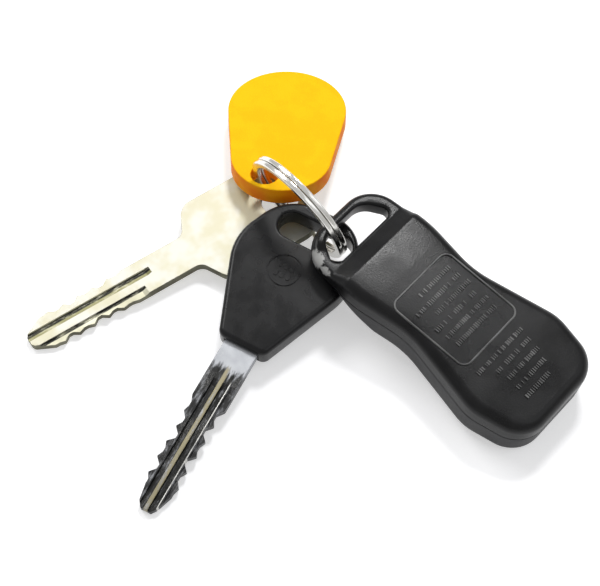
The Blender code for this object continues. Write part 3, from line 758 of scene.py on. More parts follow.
@dataclass(frozen=True)
class BladeFinish(Finish):
    """Milled blade: stripes that run along it, of grime, bare metal, painted shade and painted
    highlight.
    """

    bands: tuple[Band, ...] = ()
    streak_scale: float = 900.0

    def colour_of(self, w: Wiring, where: bpy.types.NodeSocket, effects: Effects,
                  grain: bpy.types.Node) -> bpy.types.NodeSocket:
        """Base colour with its stripes; see the parent for the arguments."""
        colour = super().colour_of(w, where, effects, grain)
        parts = w.add("ShaderNodeSeparateXYZ")
        w.feed(parts.inputs[0], where)
        mapping = w.add("ShaderNodeMapping")
        w.feed(mapping.inputs["Vector"], where)
        mapping.inputs["Scale"].default_value = (0.25, 1.0, 1.0)
        streak = w.noise(mapping.outputs["Vector"], self.streak_scale, 5.0, 0.7)
        for band in self.bands:
            stripe = w.group(effects.band, Value=parts.outputs["Y"], Centre=band.centre,
                             Half=band.half, Soft=band.soft)
            mask = w.math("MULTIPLY", stripe.outputs["Mask"], w.ramp(streak, 0.25, 0.55))
            begin = w.math("MULTIPLY_ADD", streak, 6 * MM, parts.outputs["X"])
            mask = w.math("MULTIPLY", mask, w.ramp(begin, band.start + 2 * MM,
                                                   band.start + 4.5 * MM))
            mask = w.math("MULTIPLY", mask, band.strength)
            colour = w.mix(mask, colour, band.colour)
        return colour


@dataclass(frozen=True)
class ScuffedFinish(Finish):
    """Moulded plastic with pale worn spots."""

    spots: tuple[tuple[Colour, float], ...] = ()
    worn: Colour = (0.34, 0.34, 0.33)

    def colour_of(self, w: Wiring, where: bpy.types.NodeSocket, effects: Effects,
                  grain: bpy.types.Node) -> bpy.types.NodeSocket:
        """Base colour with its worn spots; see the parent for the arguments."""
        colour = super().colour_of(w, where, effects, grain)
        for centre, radius in self.spots:
            spot = w.group(effects.spot, Vector=where, Centre=centre, Radius=radius)
            colour = w.mix(spot.outputs["Mask"], colour, self.worn)
        return colour


# ---------------------------------------------------------------- item frames and pieces


class ItemFrame:
    """Place of one carried item, from the joint that holds it."""

    def __init__(self, origin: Sequence[float], normal: Sequence[float], yaw: float) -> None:
        """Set up the frame.

        Args:
            origin: where the wire passes through the item.
            normal: the item's upward normal.
            yaw: heading of the item's far end.
        """
        up = Vector(normal).normalized()
        level = Vector((cos(yaw), sin(yaw), 0.0))
        ahead = Vector((level.x, level.y, -level.dot(up) / up.z)).normalized()
        side = up.cross(ahead)
        turn = Matrix((ahead, side, up)).transposed().to_4x4()
        self.matrix = Matrix.Translation(Vector(origin)) @ turn

    @classmethod
    def at_joint(cls, frame: dict, joint: str, yaw: float) -> "ItemFrame":
        """Frame of the item that a hinge carries.

        Args:
            frame: the loaded model.
            joint: the hinge's name.
            yaw: heading of the item's far end.

        Returns:
            The frame.
        """
        found = next(j for j in frame["joints"] if j["name"] == joint)
        return cls(found["pos_m"], found["axis"], yaw)


def finished_piece(name: str, mesh: bpy.types.Mesh, matrix: Matrix,
                   materials: Sequence[bpy.types.Material], body: str,
                   nodes: Sequence[str] = ()) -> bpy.types.Object:
    """Put a mesh in the scene as a piece of the object.

    Args:
        name: the piece's name.
        mesh: its mesh in the item's frame.
        matrix: the item's frame.
        materials: its materials; faces keep their material index.
        body: the body it rides on.
        nodes: the nodes it stands for.

    Returns:
        The piece.
    """
    place = mesh.attributes.new("item", "FLOAT_VECTOR", "POINT")
    coordinates = [0.0] * (3 * len(mesh.vertices))
    mesh.vertices.foreach_get("co", coordinates)
    place.data.foreach_set("vector", coordinates)
    mesh.transform(matrix)
    mesh.name = name
    indices = [min(face.material_index, len(materials) - 1) for face in mesh.polygons]
    mesh.materials.clear()
    for material in materials:
        mesh.materials.append(material)
    mesh.polygons.foreach_set("material_index", indices)
    obj = bpy.data.objects.new(name, mesh)
    bpy.context.scene.collection.objects.link(obj)
    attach(obj, body)
    if nodes:
        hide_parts(*nodes)
    LOG.info("%s: %d faces on %s", name, len(mesh.polygons), body)
    return obj


def paint_faces(mesh: bpy.types.Mesh,
                index_of: Callable[[bpy.types.MeshPolygon], int]) -> None:
    """Give every face its material index.

    Args:
        mesh: the mesh in its item's frame.
        index_of: tells a face's index.
    """
    for face in mesh.polygons:
        face.material_index = index_of(face)


# ---------------------------------------------------------------- finishes


RING_NICKEL = Finish("ring_nickel", (0.80, 0.79, 0.76), (0.70, 0.69, 0.65), 0.17, metallic=1.0,
                     grain_scale=2500.0, grain_height=0.004, scratch=0.5,
                     scratch_colour=(0.42, 0.41, 0.38), roughness_spread=0.1)
TAG_ORANGE = Finish("tag_orange", (1.0, 0.555, 0.001), (1.0, 0.50, 0.001), 0.66,
                    specular=0.12, grain_scale=2600.0, grain_height=0.035, grain_colour=0.8)
TAG_EDGE = Finish("tag_cut_edge", (1.0, 0.36, 0.002), (0.95, 0.22, 0.002), 0.6, specular=0.15,
                  grain_scale=2200.0, grain_height=0.05)
KEY_FACE = BladeFinish("key_polished_nickel", (0.66, 0.65, 0.58), (0.60, 0.57, 0.42), 0.44,
                       metallic=0.35, grain_scale=3000.0, grain_height=0.005, scratch=0.22,
                       scratch_colour=(0.55, 0.53, 0.45), roughness_spread=0.08)
# Darker olive colour of the plain key's cut edges: painted shade and dark reflection on its side
# faces.
KEY_EDGE_SHADE = Finish("key_cut_edge", (0.21, 0.205, 0.14), (0.09, 0.085, 0.05), 0.6, metallic=0.3,
                  grain_scale=2400.0, grain_height=0.03)
# Milled faces of the plain key: the two near-black stripes are painted shade on the walls of the
# groove and of the shelf; the olive stripe runs down the groove.
KEY_MILLED_SHADED = BladeFinish("key_milled_groove", (0.72, 0.70, 0.54), (0.52, 0.50, 0.36), 0.5,
                         metallic=0.5, grain_scale=2000.0, grain_height=0.02,
                         bands=(Band(-0.2 * MM, 0.9 * MM, 0.1 * MM, (0.22, 0.21, 0.08), 0.9),
                                Band(-1.2 * MM, 0.40 * MM, 0.1 * MM, (0.008, 0.008, 0.006), 1.0),
                                Band(2.5 * MM, 0.45 * MM, 0.12 * MM, (0.01, 0.01, 0.008), 1.0)))
HEAD_BLACK = Finish("head_black", (0.004, 0.004, 0.0045), (0.008, 0.008, 0.0085), 0.27,
                    specular=0.26, grain_scale=3200.0, grain_height=0.012, scratch=0.10,
                    scratch_colour=(0.09, 0.09, 0.09), roughness_spread=0.1)
CASE_BLACK = ScuffedFinish("case_black", (0.003, 0.003, 0.0033), (0.006, 0.006, 0.0065), 0.30,
                           specular=0.22, grain_scale=2400.0, grain_height=0.03, scratch=0.16,
                           scratch_colour=(0.10, 0.10, 0.10), roughness_spread=0.14,
                           spots=(((-1.5 * MM, -8.6 * MM, 2.2 * MM), 3.2 * MM),
                                  ((2.5 * MM, -9.3 * MM, 2.2 * MM), 2.0 * MM)))
CASE_SIDE = Finish("case_side", (0.012, 0.012, 0.013), (0.02, 0.02, 0.022), 0.5, specular=0.35,
                   grain_scale=2400.0, grain_height=0.03)
# Lighter grey of the raised ticks and the panel bead: rubbed wear and painted highlight.
CASE_MARK_SHEEN = Finish("case_rubbed_mark", (0.060, 0.060, 0.060), (0.13, 0.13, 0.128), 0.34,
                   specular=0.4, grain_scale=2400.0, grain_height=0.02)
BUTTON_GREY = Finish("button_grey", (0.055, 0.056, 0.06), (0.08, 0.08, 0.085), 0.62,
                     grain_scale=2600.0, grain_height=0.02)
MARK_WHITE = Finish("button_mark", (0.72, 0.72, 0.70), (0.62, 0.62, 0.60), 0.55)
MAT_GREY = Finish("mat_silicone", (0.11, 0.11, 0.115), (0.14, 0.14, 0.145), 0.72, local=False,
                  grain_scale=1800.0)
BOARD_GREEN = Finish("board_green", (0.012, 0.11, 0.035), (0.02, 0.17, 0.055), 0.38,
                     local=False, grain_scale=900.0, grain_colour=1.0, grain_height=0.02)
CELL_CAN = Finish("cell_can", (0.72, 0.72, 0.70), (0.62, 0.62, 0.60), 0.28, metallic=1.0,
                  local=False, grain_scale=2600.0, grain_height=0.004, scratch=0.3)
CONTACT_TIN = Finish("contact_tin", (0.74, 0.68, 0.50), (0.62, 0.56, 0.40), 0.33, metallic=1.0,
                     local=False, grain_scale=2600.0, grain_height=0.004)
CHIP_BLACK = Finish("chip_epoxy", (0.02, 0.02, 0.021), (0.035, 0.035, 0.036), 0.55, local=False,
                    grain_scale=3000.0)
LAMP_RED = Finish("lamp_lens", (0.55, 0.02, 0.012), (0.62, 0.04, 0.02), 0.18, local=False,
                  grain_scale=900.0, grain_height=0.002, coat=0.4)
CAPSULE_GREY = Finish("capsule_ceramic", (0.08, 0.08, 0.085), (0.11, 0.11, 0.115), 0.4,
                      local=False, grain_scale=2000.0)


# ---------------------------------------------------------------- split ring


@dataclass
class SplitRing:
    """Two turns of flattened wire with a jog and two square-cut ends."""

    outer_diameter: float = 30.0 * MM
    wire_radial: float = 2.0 * MM
    wire_axial: float = 1.25 * MM
    coil_gap: float = 0.1 * MM
    jog: float = radians(26)
    yaw: float = radians(-47.7)
    lean: float = radians(11)
    split: float = radians(298)
    corner: float = 0.42 * MM
    steps_per_turn: int = 220

    def centre(self, angle: float) -> Vector:
        """Centre of the wire at an angle along its two turns."""
        share = min(1.0, max(0.0, (angle - (tau - self.jog)) / self.jog))
        step = share * share * (3 - 2 * share)
        radius = (self.outer_diameter - self.wire_radial) / 2
        heading = self.split + angle
        axial = (self.wire_axial + self.coil_gap) * (step - 0.5)
        return Vector((radius * cos(heading), radius * sin(heading), axial))

    def section(self, shrink: float) -> list[Point]:
        """Outline of the wire's section, shrunk for the end's chamfer."""
        return box_outline((0.0, 0.0), (self.wire_radial - 2 * shrink,
                                        self.wire_axial - 2 * shrink),
                           self.corner - 0.6 * shrink)

    def mesh(self) -> bpy.types.Mesh:
        """Sweep the section along the coil."""
        total = 2 * tau - self.jog
        count = int(self.steps_per_turn * total / tau)
        chamfer = 0.16 * MM
        radius = (self.outer_diameter - self.wire_radial) / 2
        ends = [(0.0, chamfer), (chamfer / radius, 0.0)]
        inner = [(total * i / count, 0.0) for i in range(1, count)]
        stations = ends + inner + [(total - a, s) for a, s in reversed(ends)]
        work = bmesh.new()
        rows = []
        for angle, shrink in stations:
            centre = self.centre(angle)
            outward = Vector((cos(self.split + angle), sin(self.split + angle), 0.0))
            rows.append([work.verts.new(centre + outward * x + Vector((0, 0, y)))
                         for x, y in self.section(shrink)])
        for a, b in zip(rows, rows[1:]):
            for k in range(len(a)):
                work.faces.new((a[k], a[(k + 1) % len(a)], b[(k + 1) % len(a)], b[k]))
        work.faces.new(rows[0])
        work.faces.new(rows[-1][::-1])
        bmesh.ops.recalc_face_normals(work, faces=work.faces)
        mesh = bpy.data.meshes.new("split_ring_wire")
        work.to_mesh(mesh)
        work.free()
        mesh.shade_smooth()
        mesh.set_sharp_from_angle(angle=radians(40))
        return mesh

    def build(self, frame: dict, effects: Effects) -> None:
        """Make the ring where its mount says it is."""
        mount = next(m for m in frame["record"]["mounts"] if m["name"] == "carry_loop")
        turn = Matrix.Rotation(self.yaw, 4, "Z") @ Matrix.Rotation(pi / 2 + self.lean, 4, "X")
        matrix = Matrix.Translation(Vector(mount["pos_m"])) @ turn
        finished_piece("ring_wire", self.mesh(), matrix, [RING_NICKEL.material(effects)],
                       "ring", ["split_ring"])


# ---------------------------------------------------------------- tag


@dataclass
class Tag:
    """Egg-shaped disc of dyed sheet with one hole."""

    thickness: float = 4.5 * MM
    narrow_radius: float = 12.2 * MM
    wide_radius: float = 14.7 * MM
    centre_distance: float = 17.2 * MM
    hole_diameter: float = 6.8 * MM
    hole_inset: float = 5.3 * MM
    hole_side: float = 3.4 * MM
    edge: float = 0.35 * MM
    edge_slope: float = 0.45
    yaw: float = radians(85.5)

    def outline(self) -> list[Point]:
        """Two end arcs and their common tangents."""
        narrow_x = self.narrow_radius - self.hole_inset
        wide_x = narrow_x + self.centre_distance
        lean = asin((self.wide_radius - self.narrow_radius) / self.centre_distance)
        points = []
        arcs = ((wide_x, self.wide_radius, -pi / 2 - lean, pi / 2 + lean),
                (narrow_x, self.narrow_radius, pi / 2 + lean, 3 * pi / 2 - lean))
        for centre, radius, start, end in arcs:
            steps = ceil((end - start) / radians(2.5))
            points += [(centre + radius * cos(start + (end - start) * k / steps),
                        -self.hole_side + radius * sin(start + (end - start) * k / steps))
                       for k in range(steps + 1)]
        return points

    def build(self, frame: dict, effects: Effects) -> None:
        """Make the tag; its cut edge and the hole's wall have the redder finish."""
        half = self.thickness / 2
        hole = circle((0.0, 0.0), self.hole_diameter, 64)
        mesh = plate([self.outline(), hole], -half, half, self.edge)
        paint_faces(mesh, lambda face: int(abs(face.normal.z) < self.edge_slope))
        place = ItemFrame.at_joint(frame, "tag_swing", self.yaw)
        finished_piece("tag_disc", mesh, place.matrix,
                       [TAG_ORANGE.material(effects), TAG_EDGE.material(effects)],
                       "tag", ["tag"])


# ---------------------------------------------------------------- keys


@dataclass
class PlainKey:
    """Flat nickel-plated key with cuts on both edges."""

    thickness: float = 2.2 * MM
    length: float = 76.4 * MM
    bow_width: float = 24.0 * MM
    bow_length: float = 32.4 * MM
    hole_diameter: float = 9.0 * MM
    hole_inset: float = 7.6 * MM
    blade_width: float = 9.1 * MM
    bitting: tuple[float, ...] = (0.5 * MM, 1.2 * MM, 0.8 * MM, 1.4 * MM, 1.0 * MM, 0.4 * MM)
    bitting_start: float = 17.0 * MM
    edge: float = 0.12 * MM
    groove_depth: float = 0.55 * MM
    groove_start: float = 10.0 * MM
    groove_centre: float = -0.75 * MM
    groove_width: float = 1.6 * MM
    shelf_start: float = 2.5 * MM
    yaw: float = radians(212.4)

    def outline(self) -> list[Point]:
        """Bow, neck, cut edges and tip."""
        half, blade = self.bow_width / 2, self.blade_width / 2
        bow, neck = -self.hole_inset, self.bow_length - self.hole_inset
        tip = self.length - self.hole_inset
        start, end = neck + self.bitting_start, tip - 3.5 * MM
        shoulder = neck - 3.8 * MM
        lower = [(bow, -half, 8 * MM), (shoulder, -half, 4.4 * MM), (neck, -blade, 2.6 * MM)]
        lower += bitted_edge(start, end, blade, self.bitting, -1)
        lower += [(tip - 0.6 * MM, -1.9 * MM, 0.5 * MM), (tip, -1.2 * MM, 0.4 * MM)]
        upper = [(tip, 1.2 * MM, 0.4 * MM), (tip - 0.6 * MM, 1.9 * MM, 0.5 * MM)]
        upper += reversed(bitted_edge(start, end, blade, self.bitting[::-1], 1))
        upper += [(neck, blade, 2.6 * MM), (shoulder, half, 4.4 * MM), (bow, half, 8 * MM)]
        return rounded_polygon(lower + upper)

    def build(self, frame: dict, effects: Effects) -> None:
        """Make the key with its two milled faces."""
        half = self.thickness / 2
        neck = self.bow_length - self.hole_inset
        tip = self.length - self.hole_inset
        start = neck + self.groove_start
        hole = circle((0.0, 0.0), self.hole_diameter, 64)
        mesh = plate([self.outline(), hole], -half, half, self.edge, 2)
        blade = self.blade_width / 2
        shelf_width = blade - self.shelf_start + 1.5 * MM
        shelf_centre = self.shelf_start + shelf_width / 2
        flare, run_out = 0.22 * MM, 2.2 * MM
        cuts = [
            (start, self.groove_centre, self.groove_width, self.groove_depth, half),
            (start + 3.2 * MM, shelf_centre, shelf_width, self.groove_depth, half),
            (start, 0.6 * MM, 1.5 * MM, -self.groove_depth, -half),
            (start + 3.2 * MM, -shelf_centre, shelf_width, -self.groove_depth, -half)]
        mesh = carve(mesh, [(Cut.AWAY, trough(x, tip + 1 * MM, y, width, depth, face, flare,
                                              run_out)) for x, y, width, depth, face in cuts])
        shade(mesh)

        def region(face: bpy.types.MeshPolygon) -> int:
            """Polished faces 0, cut edges 1 in the darker painted-shade finish, milled floors and
            walls 2 with painted shade stripes.
            """
            if abs(face.center.z) >= half - 0.02 * MM:
                return 0
            return 1 if abs(face.normal.z) < 0.1 or face.center.x < start else 2

        paint_faces(mesh, region)
        place = ItemFrame.at_joint(frame, "plain_key_swing", self.yaw)
        finished_piece("key_blank", mesh, place.matrix,
                       [KEY_FACE.material(effects), KEY_EDGE_SHADE.material(effects),
                        KEY_MILLED_SHADED.material(effects)],
                       "plain_key", ["plain_key"])


@dataclass(frozen=True)
class Groove:
    """Milled groove of a blade: its middle, the width of its floor and its face."""

    centre: float
    width: float
    face: int


@dataclass
class CarKey:
    """Cut blade in a moulded black head."""

    thickness: float = 6.2 * MM
    width: float = 30.6 * MM
    length: float = 39.0 * MM
    edge: float = 1.2 * MM
    left_corner: float = 8.6 * MM
    right_corner: float = 11.4 * MM
    left_radius: float = 12.0 * MM
    right_radius: float = 9.0 * MM
    widest: float = 15.4 * MM
    side_radius: float = 14.0 * MM
    collar: float = 1.7 * MM
    collar_radius: float = 2.2 * MM
    slot_width: float = 6.8 * MM
    slot_length: float = 19.0 * MM
    slot_inset: float = 7.0 * MM
    slot_ahead: float = 0.3 * MM
    slot_middle: float = -6.3 * MM
    middle: float = -8.3 * MM
    blade_thickness: float = 2.4 * MM
    blade_width: float = 8.4 * MM
    blade_length: float = 43.2 * MM
    bitting: tuple[float, ...] = (0.7 * MM, 1.4 * MM, 1.9 * MM, 1.0 * MM, 1.8 * MM, 1.3 * MM)
    bitting_start: float = 15.0 * MM
    groove_depth: float = 0.6 * MM
    groove_start: float = 8.0 * MM
    groove_flare: float = 0.25 * MM
    groove_run_out: float = 3.0 * MM
    grooves: tuple[Groove, ...] = (
        Groove(-1.15 * MM, 1.0 * MM, 1), Groove(1.35 * MM, 1.1 * MM, 1),
        Groove(3.6 * MM, 1.6 * MM, 1), Groove(0.2 * MM, 1.6 * MM, -1),
        Groove(-3.6 * MM, 1.6 * MM, -1))
    tang: float = 17.0 * MM
    medallion: float = 8.4 * MM
    medallion_ahead: float = 11.6 * MM
    gap: float = 0.3 * MM
    capsule: tuple[float, float, float] = (4.0 * MM, 10.0 * MM, 2.4 * MM)
    yaw: float = radians(241.4)
    start: float = field(init=False)
    end: float = field(init=False)

    def __post_init__(self) -> None:
        """Work out the head's ends."""
        self.start = self.slot_ahead - self.slot_inset
        self.end = self.start + self.length

    def head_mesh(self) -> bpy.types.Mesh:
        """Head with its slot, pockets and round medallion."""
        half = self.thickness / 2
        corners = mirrored([
            (self.start, self.left_corner, self.left_radius),
            (self.start + self.widest, self.width / 2, self.side_radius),
            (self.end, self.blade_width / 2 + self.collar, self.collar_radius)], self.middle)
        corners[-1] = (self.start, self.middle + self.right_corner, self.right_radius)
        outline = rounded_polygon(corners, radians(3))
        slot = box_outline((self.slot_ahead, self.slot_middle),
                           (self.slot_width, self.slot_length), self.slot_width / 2)
        mesh = plate([outline], -half, half, self.edge, 6)
        tang, thick = self.blade_width / 2 + self.gap, self.blade_thickness / 2 + self.gap
        length, width, height = self.capsule
        left = self.end - self.tang - self.gap - length
        pockets = [
            block((self.end - self.tang - self.gap, self.middle - tang, -thick),
                  (self.end + 1 * MM, self.middle + tang, thick)),
            block((left - self.gap, self.middle - width / 2 - self.gap, -height / 2 - self.gap),
                  (self.end - self.tang, self.middle + width / 2 + self.gap,
                   height / 2 + self.gap))]
        centre = (self.medallion_ahead, self.middle)
        ring = plate([circle(centre, self.medallion, 64),
                      circle(centre, self.medallion - 1.1 * MM, 64)],
                     half - 0.22 * MM, half + 1 * MM)
        rim = hourglass(slot, half, 0.55 * MM)
        mesh = carve(mesh, [(Cut.AWAY, tool) for tool in (*pockets, ring, rim)])
        return shade(mesh)

    def emblem_mesh(self) -> bpy.types.Mesh:
        """Raised plain pattern inside the medallion: two rows of three small studs."""
        half = self.thickness / 2
        row_pitch, stud_pitch, stud = 2.3 * MM, 1.55 * MM, (1.5 * MM, 1.0 * MM)
        studs = [plate([box_outline((self.medallion_ahead + row * row_pitch,
                                     self.middle + place * stud_pitch), stud, 0.4 * MM)],
                       half - 0.1 * MM, half + 0.14 * MM, 0.06 * MM, 2)
                 for row in (-0.5, 0.5) for place in (-1, 0, 1)]
        return shade(joined(studs))

    def blade_mesh(self) -> bpy.types.Mesh:
        """Blade with its tang, cuts and grooves."""
        half, blade = self.blade_thickness / 2, self.blade_width / 2
        tip = self.end + self.blade_length
        tang = self.end - self.tang
        start, end = self.end + self.bitting_start, tip - 4 * MM
        lower = [(tang, -blade, 0.0), *bitted_edge(start, end, blade, self.bitting, -1),
                 (tip - 1.4 * MM, -2.2 * MM, 0.5 * MM), (tip, -1.2 * MM, 0.4 * MM)]
        upper = [(tip, 1.2 * MM, 0.4 * MM), (tip - 1.4 * MM, 2.2 * MM, 0.5 * MM),
                 *reversed(bitted_edge(start, end, blade, self.bitting[::-1], 1)),
                 (tang, blade, 0.0)]
        corners = [(x, y + self.middle, r) for x, y, r in lower + upper]
        mesh = plate([rounded_polygon(corners)], -half, half, 0.12 * MM, 2)
        tools = [trough(self.end + self.groove_start, tip + 1 * MM, self.middle + groove.centre,
                        groove.width, groove.face * self.groove_depth, groove.face * half,
                        self.groove_flare, self.groove_run_out) for groove in self.grooves]
        return shade(carve(mesh, [(Cut.AWAY, tool) for tool in tools]))

    def blade_finish(self) -> BladeFinish:
        """Worn metal, darker grey in blotches beyond the head, with dark stripes along the grooves
        and cut edges that are partly grime and partly painted shade, a brass stripe and a thin
        painted highlight on one groove's rim.
        """
        dark, brass, painted_glint = (0.015, 0.015, 0.014), (0.30, 0.265, 0.16), (0.75, 0.74, 0.70)
        stripe_start = self.end + 6 * MM
        m = self.middle
        # The dark stripes along the grooves and the cut edges are partly grime and partly painted
        # shade.
        bands = (Band(m, 5.0 * MM, 0.5 * MM, (0.10, 0.10, 0.108), 0.85, stripe_start),
                 Band(m - 3.0 * MM, 1.6 * MM, 0.5 * MM, dark, 0.93, stripe_start),
                 Band(m + 2.9 * MM, 1.9 * MM, 0.4 * MM, dark, 0.9, stripe_start),
                 Band(m + 1.3 * MM, 0.9 * MM, 0.15 * MM, dark, 0.97, stripe_start),
                 Band(m - 1.15 * MM, 0.75 * MM, 0.12 * MM, dark, 0.9, stripe_start),
                 Band(m + 0.1 * MM, 0.42 * MM, 0.15 * MM, brass, 0.85, stripe_start),
                 # Thin bright line along a groove's rim: a painted highlight.
                 Band(m + 2.25 * MM, 0.08 * MM, 0.06 * MM, painted_glint, 0.9, stripe_start + 3 * MM))
        return BladeFinish("blade_worn_steel", (0.40, 0.41, 0.43), (0.32, 0.33, 0.35), 0.45,
                           metallic=0.85, grain_scale=2600.0, grain_height=0.015, scratch=0.35,
                           scratch_colour=(0.66, 0.65, 0.62), bands=bands)

    def build(self, frame: dict, effects: Effects) -> None:
        """Make the head, its emblem and the blade."""
        place = ItemFrame.at_joint(frame, "car_key_swing", self.yaw).matrix
        black = HEAD_BLACK.material(effects)
        finished_piece("key_head_moulding", self.head_mesh(), place, [black], "car_key",
                       ["key_head"])
        finished_piece("key_head_emblem", self.emblem_mesh(), place, [black], "car_key")
        finished_piece("key_head_blade", self.blade_mesh(), place,
                       [self.blade_finish().material(effects)], "car_key",
                       ["key_blade"])


# ---------------------------------------------------------------- remote


@dataclass
class Remote:
    """Waisted two-part remote, lying with its back up and its buttons down."""

    length: float = 68.2 * MM
    shoulder: float = 27.2 * MM
    waist: float = 22.8 * MM
    tail: float = 32.0 * MM
    loop_taper: float = 1.5 * MM
    tail_taper: float = 3.0 * MM
    shoulder_x: float = 12.0 * MM
    waist_x: float = 27.0 * MM
    tail_ahead: float = 14.0 * MM
    end_radius: float = 8.0 * MM
    shoulder_radius: float = 30.0 * MM
    waist_radius: float = 24.0 * MM
    tail_radius: float = 12.0 * MM
    outline_step: float = 0.45 * MM
    height: float = 13.0 * MM
    top: float = 4.5 * MM
    edge: float = 2.6 * MM
    least_edge: float = 0.3 * MM
    edge_share: float = 0.36
    inner_edge_share: float = 0.6
    crown: float = 0.22 * MM
    wall: float = 1.3 * MM
    middle: float = 4.2 * MM
    loop_thickness: float = 4.4 * MM
    loop_bar: float = 2.4 * MM
    loop_hole_width: float = 7.0 * MM
    loop_reach: float = 5.8 * MM
    parting: float = -1.0 * MM
    gap: float = 0.3 * MM
    under_ramp: float = 14.0 * MM
    over_ramp: float = 4.0 * MM
    ledge: float = 1.3 * MM
    button_x: float = 34.0 * MM
    button_length: float = 9.0 * MM
    button_width: float = 7.0 * MM
    button_clearance: float = 0.35 * MM
    button_recess: float = 0.2 * MM
    button_flange: float = 0.7 * MM
    pitch_x: float = 13.0 * MM
    pitch_y: float = 9.0 * MM
    travel: float = 0.8 * MM
    mat_thickness: float = 0.8 * MM
    lamp_x: float = 21.5 * MM
    lamp_diameter: float = 3.0 * MM
    panel: tuple[float, float, float, float] = (19.4 * MM, 41.6 * MM, -5.9 * MM, 13.9 * MM)
    yaw: float = radians(318)
    names: tuple[str, ...] = ("lock", "unlock", "trunk", "panic")

    @property
    def far(self) -> float:
        """x of the tail's end."""
        return self.length - self.loop_reach

    @property
    def root(self) -> float:
        """x where the covers begin and the loop ends."""
        return self.loop_hole_width + self.loop_bar - self.loop_reach + 0.8 * MM

    @property
    def bottom(self) -> float:
        """Height of the button face."""
        return self.top - self.height

    @property
    def floor(self) -> float:
        """Height of the inner face of the front cover."""
        return self.bottom + self.wall

    def half_outline(self) -> list[Point]:
        """Half of the outline as (x, distance from the middle line), loop end first."""
        corners = mirrored([
            (-self.loop_reach, self.shoulder / 2 - self.loop_taper, self.end_radius),
            (self.shoulder_x, self.shoulder / 2, self.shoulder_radius),
            (self.waist_x, self.waist / 2, self.waist_radius),
            (self.far - self.tail_ahead, self.tail / 2, self.tail_radius),
            (self.far, self.tail / 2 - self.tail_taper, self.end_radius)])
        points = rounded_polygon(corners, radians(4))
        lower = [(x, -y) for x, y in points[:len(points) // 2]]
        fine = [lower[0]]
        for a, b in zip(lower, lower[1:]):
            steps = max(1, ceil(abs(b[0] - a[0]) / self.outline_step))
            fine += [(a[0] + (b[0] - a[0]) * k / steps, a[1] + (b[1] - a[1]) * k / steps)
                     for k in range(1, steps + 1)]
        return fine

    @staticmethod
    def eased(x: float, start: float, end: float, low: float, high: float, soft: float) -> float:
        """Straight ramp with both bends slightly rounded.

        Args:
            x: where.
            start: x of the ramp's start.
            end: x of the ramp's end.
            low: value before it.
            high: value after it.
            soft: length of each rounded bend.

        Returns:
            The value at x.
        """
        slope = (high - low) / (end - start)

        def bend(t: float) -> float:
            """Integral of a step smoothed over the bend's length."""
            if t <= -soft:
                return 0.0
            if t >= soft:
                return t
            return (t + soft) ** 2 / (4 * soft)

        return low + slope * (bend(x - start) - bend(x - end))

    def upper(self, x: float) -> float:
        """Height of the upper face."""
        return self.eased(x, self.root, self.root + self.over_ramp, self.loop_thickness / 2,
                          self.top, 0.28 * MM)

    def lower(self, x: float) -> float:
        """Height of the lower face."""
        return self.eased(x, self.root, self.root + self.under_ramp, -self.loop_thickness / 2,
                          self.bottom, 1.2 * MM)

    def form(self, wall: float = 0.0, top: Optional[float] = None,
             bottom: Optional[float] = None, columns: int = 12) -> bpy.types.Mesh:
        """Closed body, or a smaller one for hollowing it.

        Args:
            wall: how far every side moves inwards.
            top: height that cuts the inner form off above.
            bottom: height that cuts it off below.
            columns: faces across the upper and lower face.

        Returns:
            The mesh.
        """
        half = self.half_outline()
        loop = [(x, -y) for x, y in half] + [(x, y) for x, y in reversed(half)]
        ring_steps = 7
        work = bmesh.new()
        rows = []
        base = inset(loop, wall) if wall else loop
        count = len(base)
        profile = [(-1, k / ring_steps) for k in range(ring_steps + 1)] + \
                  [(1, 1 - k / ring_steps) for k in range(ring_steps + 1)]
        normals = []
        for i in range(count):
            before = Vector(base[i]) - Vector(base[i - 1])
            after = Vector(base[(i + 1) % count]) - Vector(base[i])
            normals.append((Vector((-before.y, before.x)).normalized() +
                            Vector((-after.y, after.x)).normalized()).normalized())
        for side, share in profile:
            row = []
            for (x, y), normal in zip(base, normals):
                thick = self.upper(x) - self.lower(x)
                radius = max(self.least_edge, min(self.edge, self.edge_share * thick)
                             - wall * self.inner_edge_share)
                angle = share * pi / 2
                move = radius * (1 - sin(angle))
                px, py = x + normal.x * move, y + normal.y * move
                high = self.upper(px) - wall if side > 0 else self.lower(px) + wall
                z = high - side * radius * (1 - cos(angle))
                z = min(z, top) if top is not None else z
                z = max(z, bottom) if bottom is not None else z
                row.append(work.verts.new((px, py + self.middle, z)))
            rows.append(row)
        for a, b in zip(rows, rows[1:]):
            for k in range(count):
                n = (k + 1) % count
                work.faces.new((a[k], a[n], b[n], b[k]))
        for row, side in ((rows[0], -1), (rows[-1], 1)):
            self._cap(work, row, columns, 0.0 if wall else side * self.crown)
        bmesh.ops.recalc_face_normals(work, faces=work.faces)
        mesh = bpy.data.meshes.new("remote_form")
        work.to_mesh(mesh)
        work.free()
        mesh.shade_smooth()
        return mesh

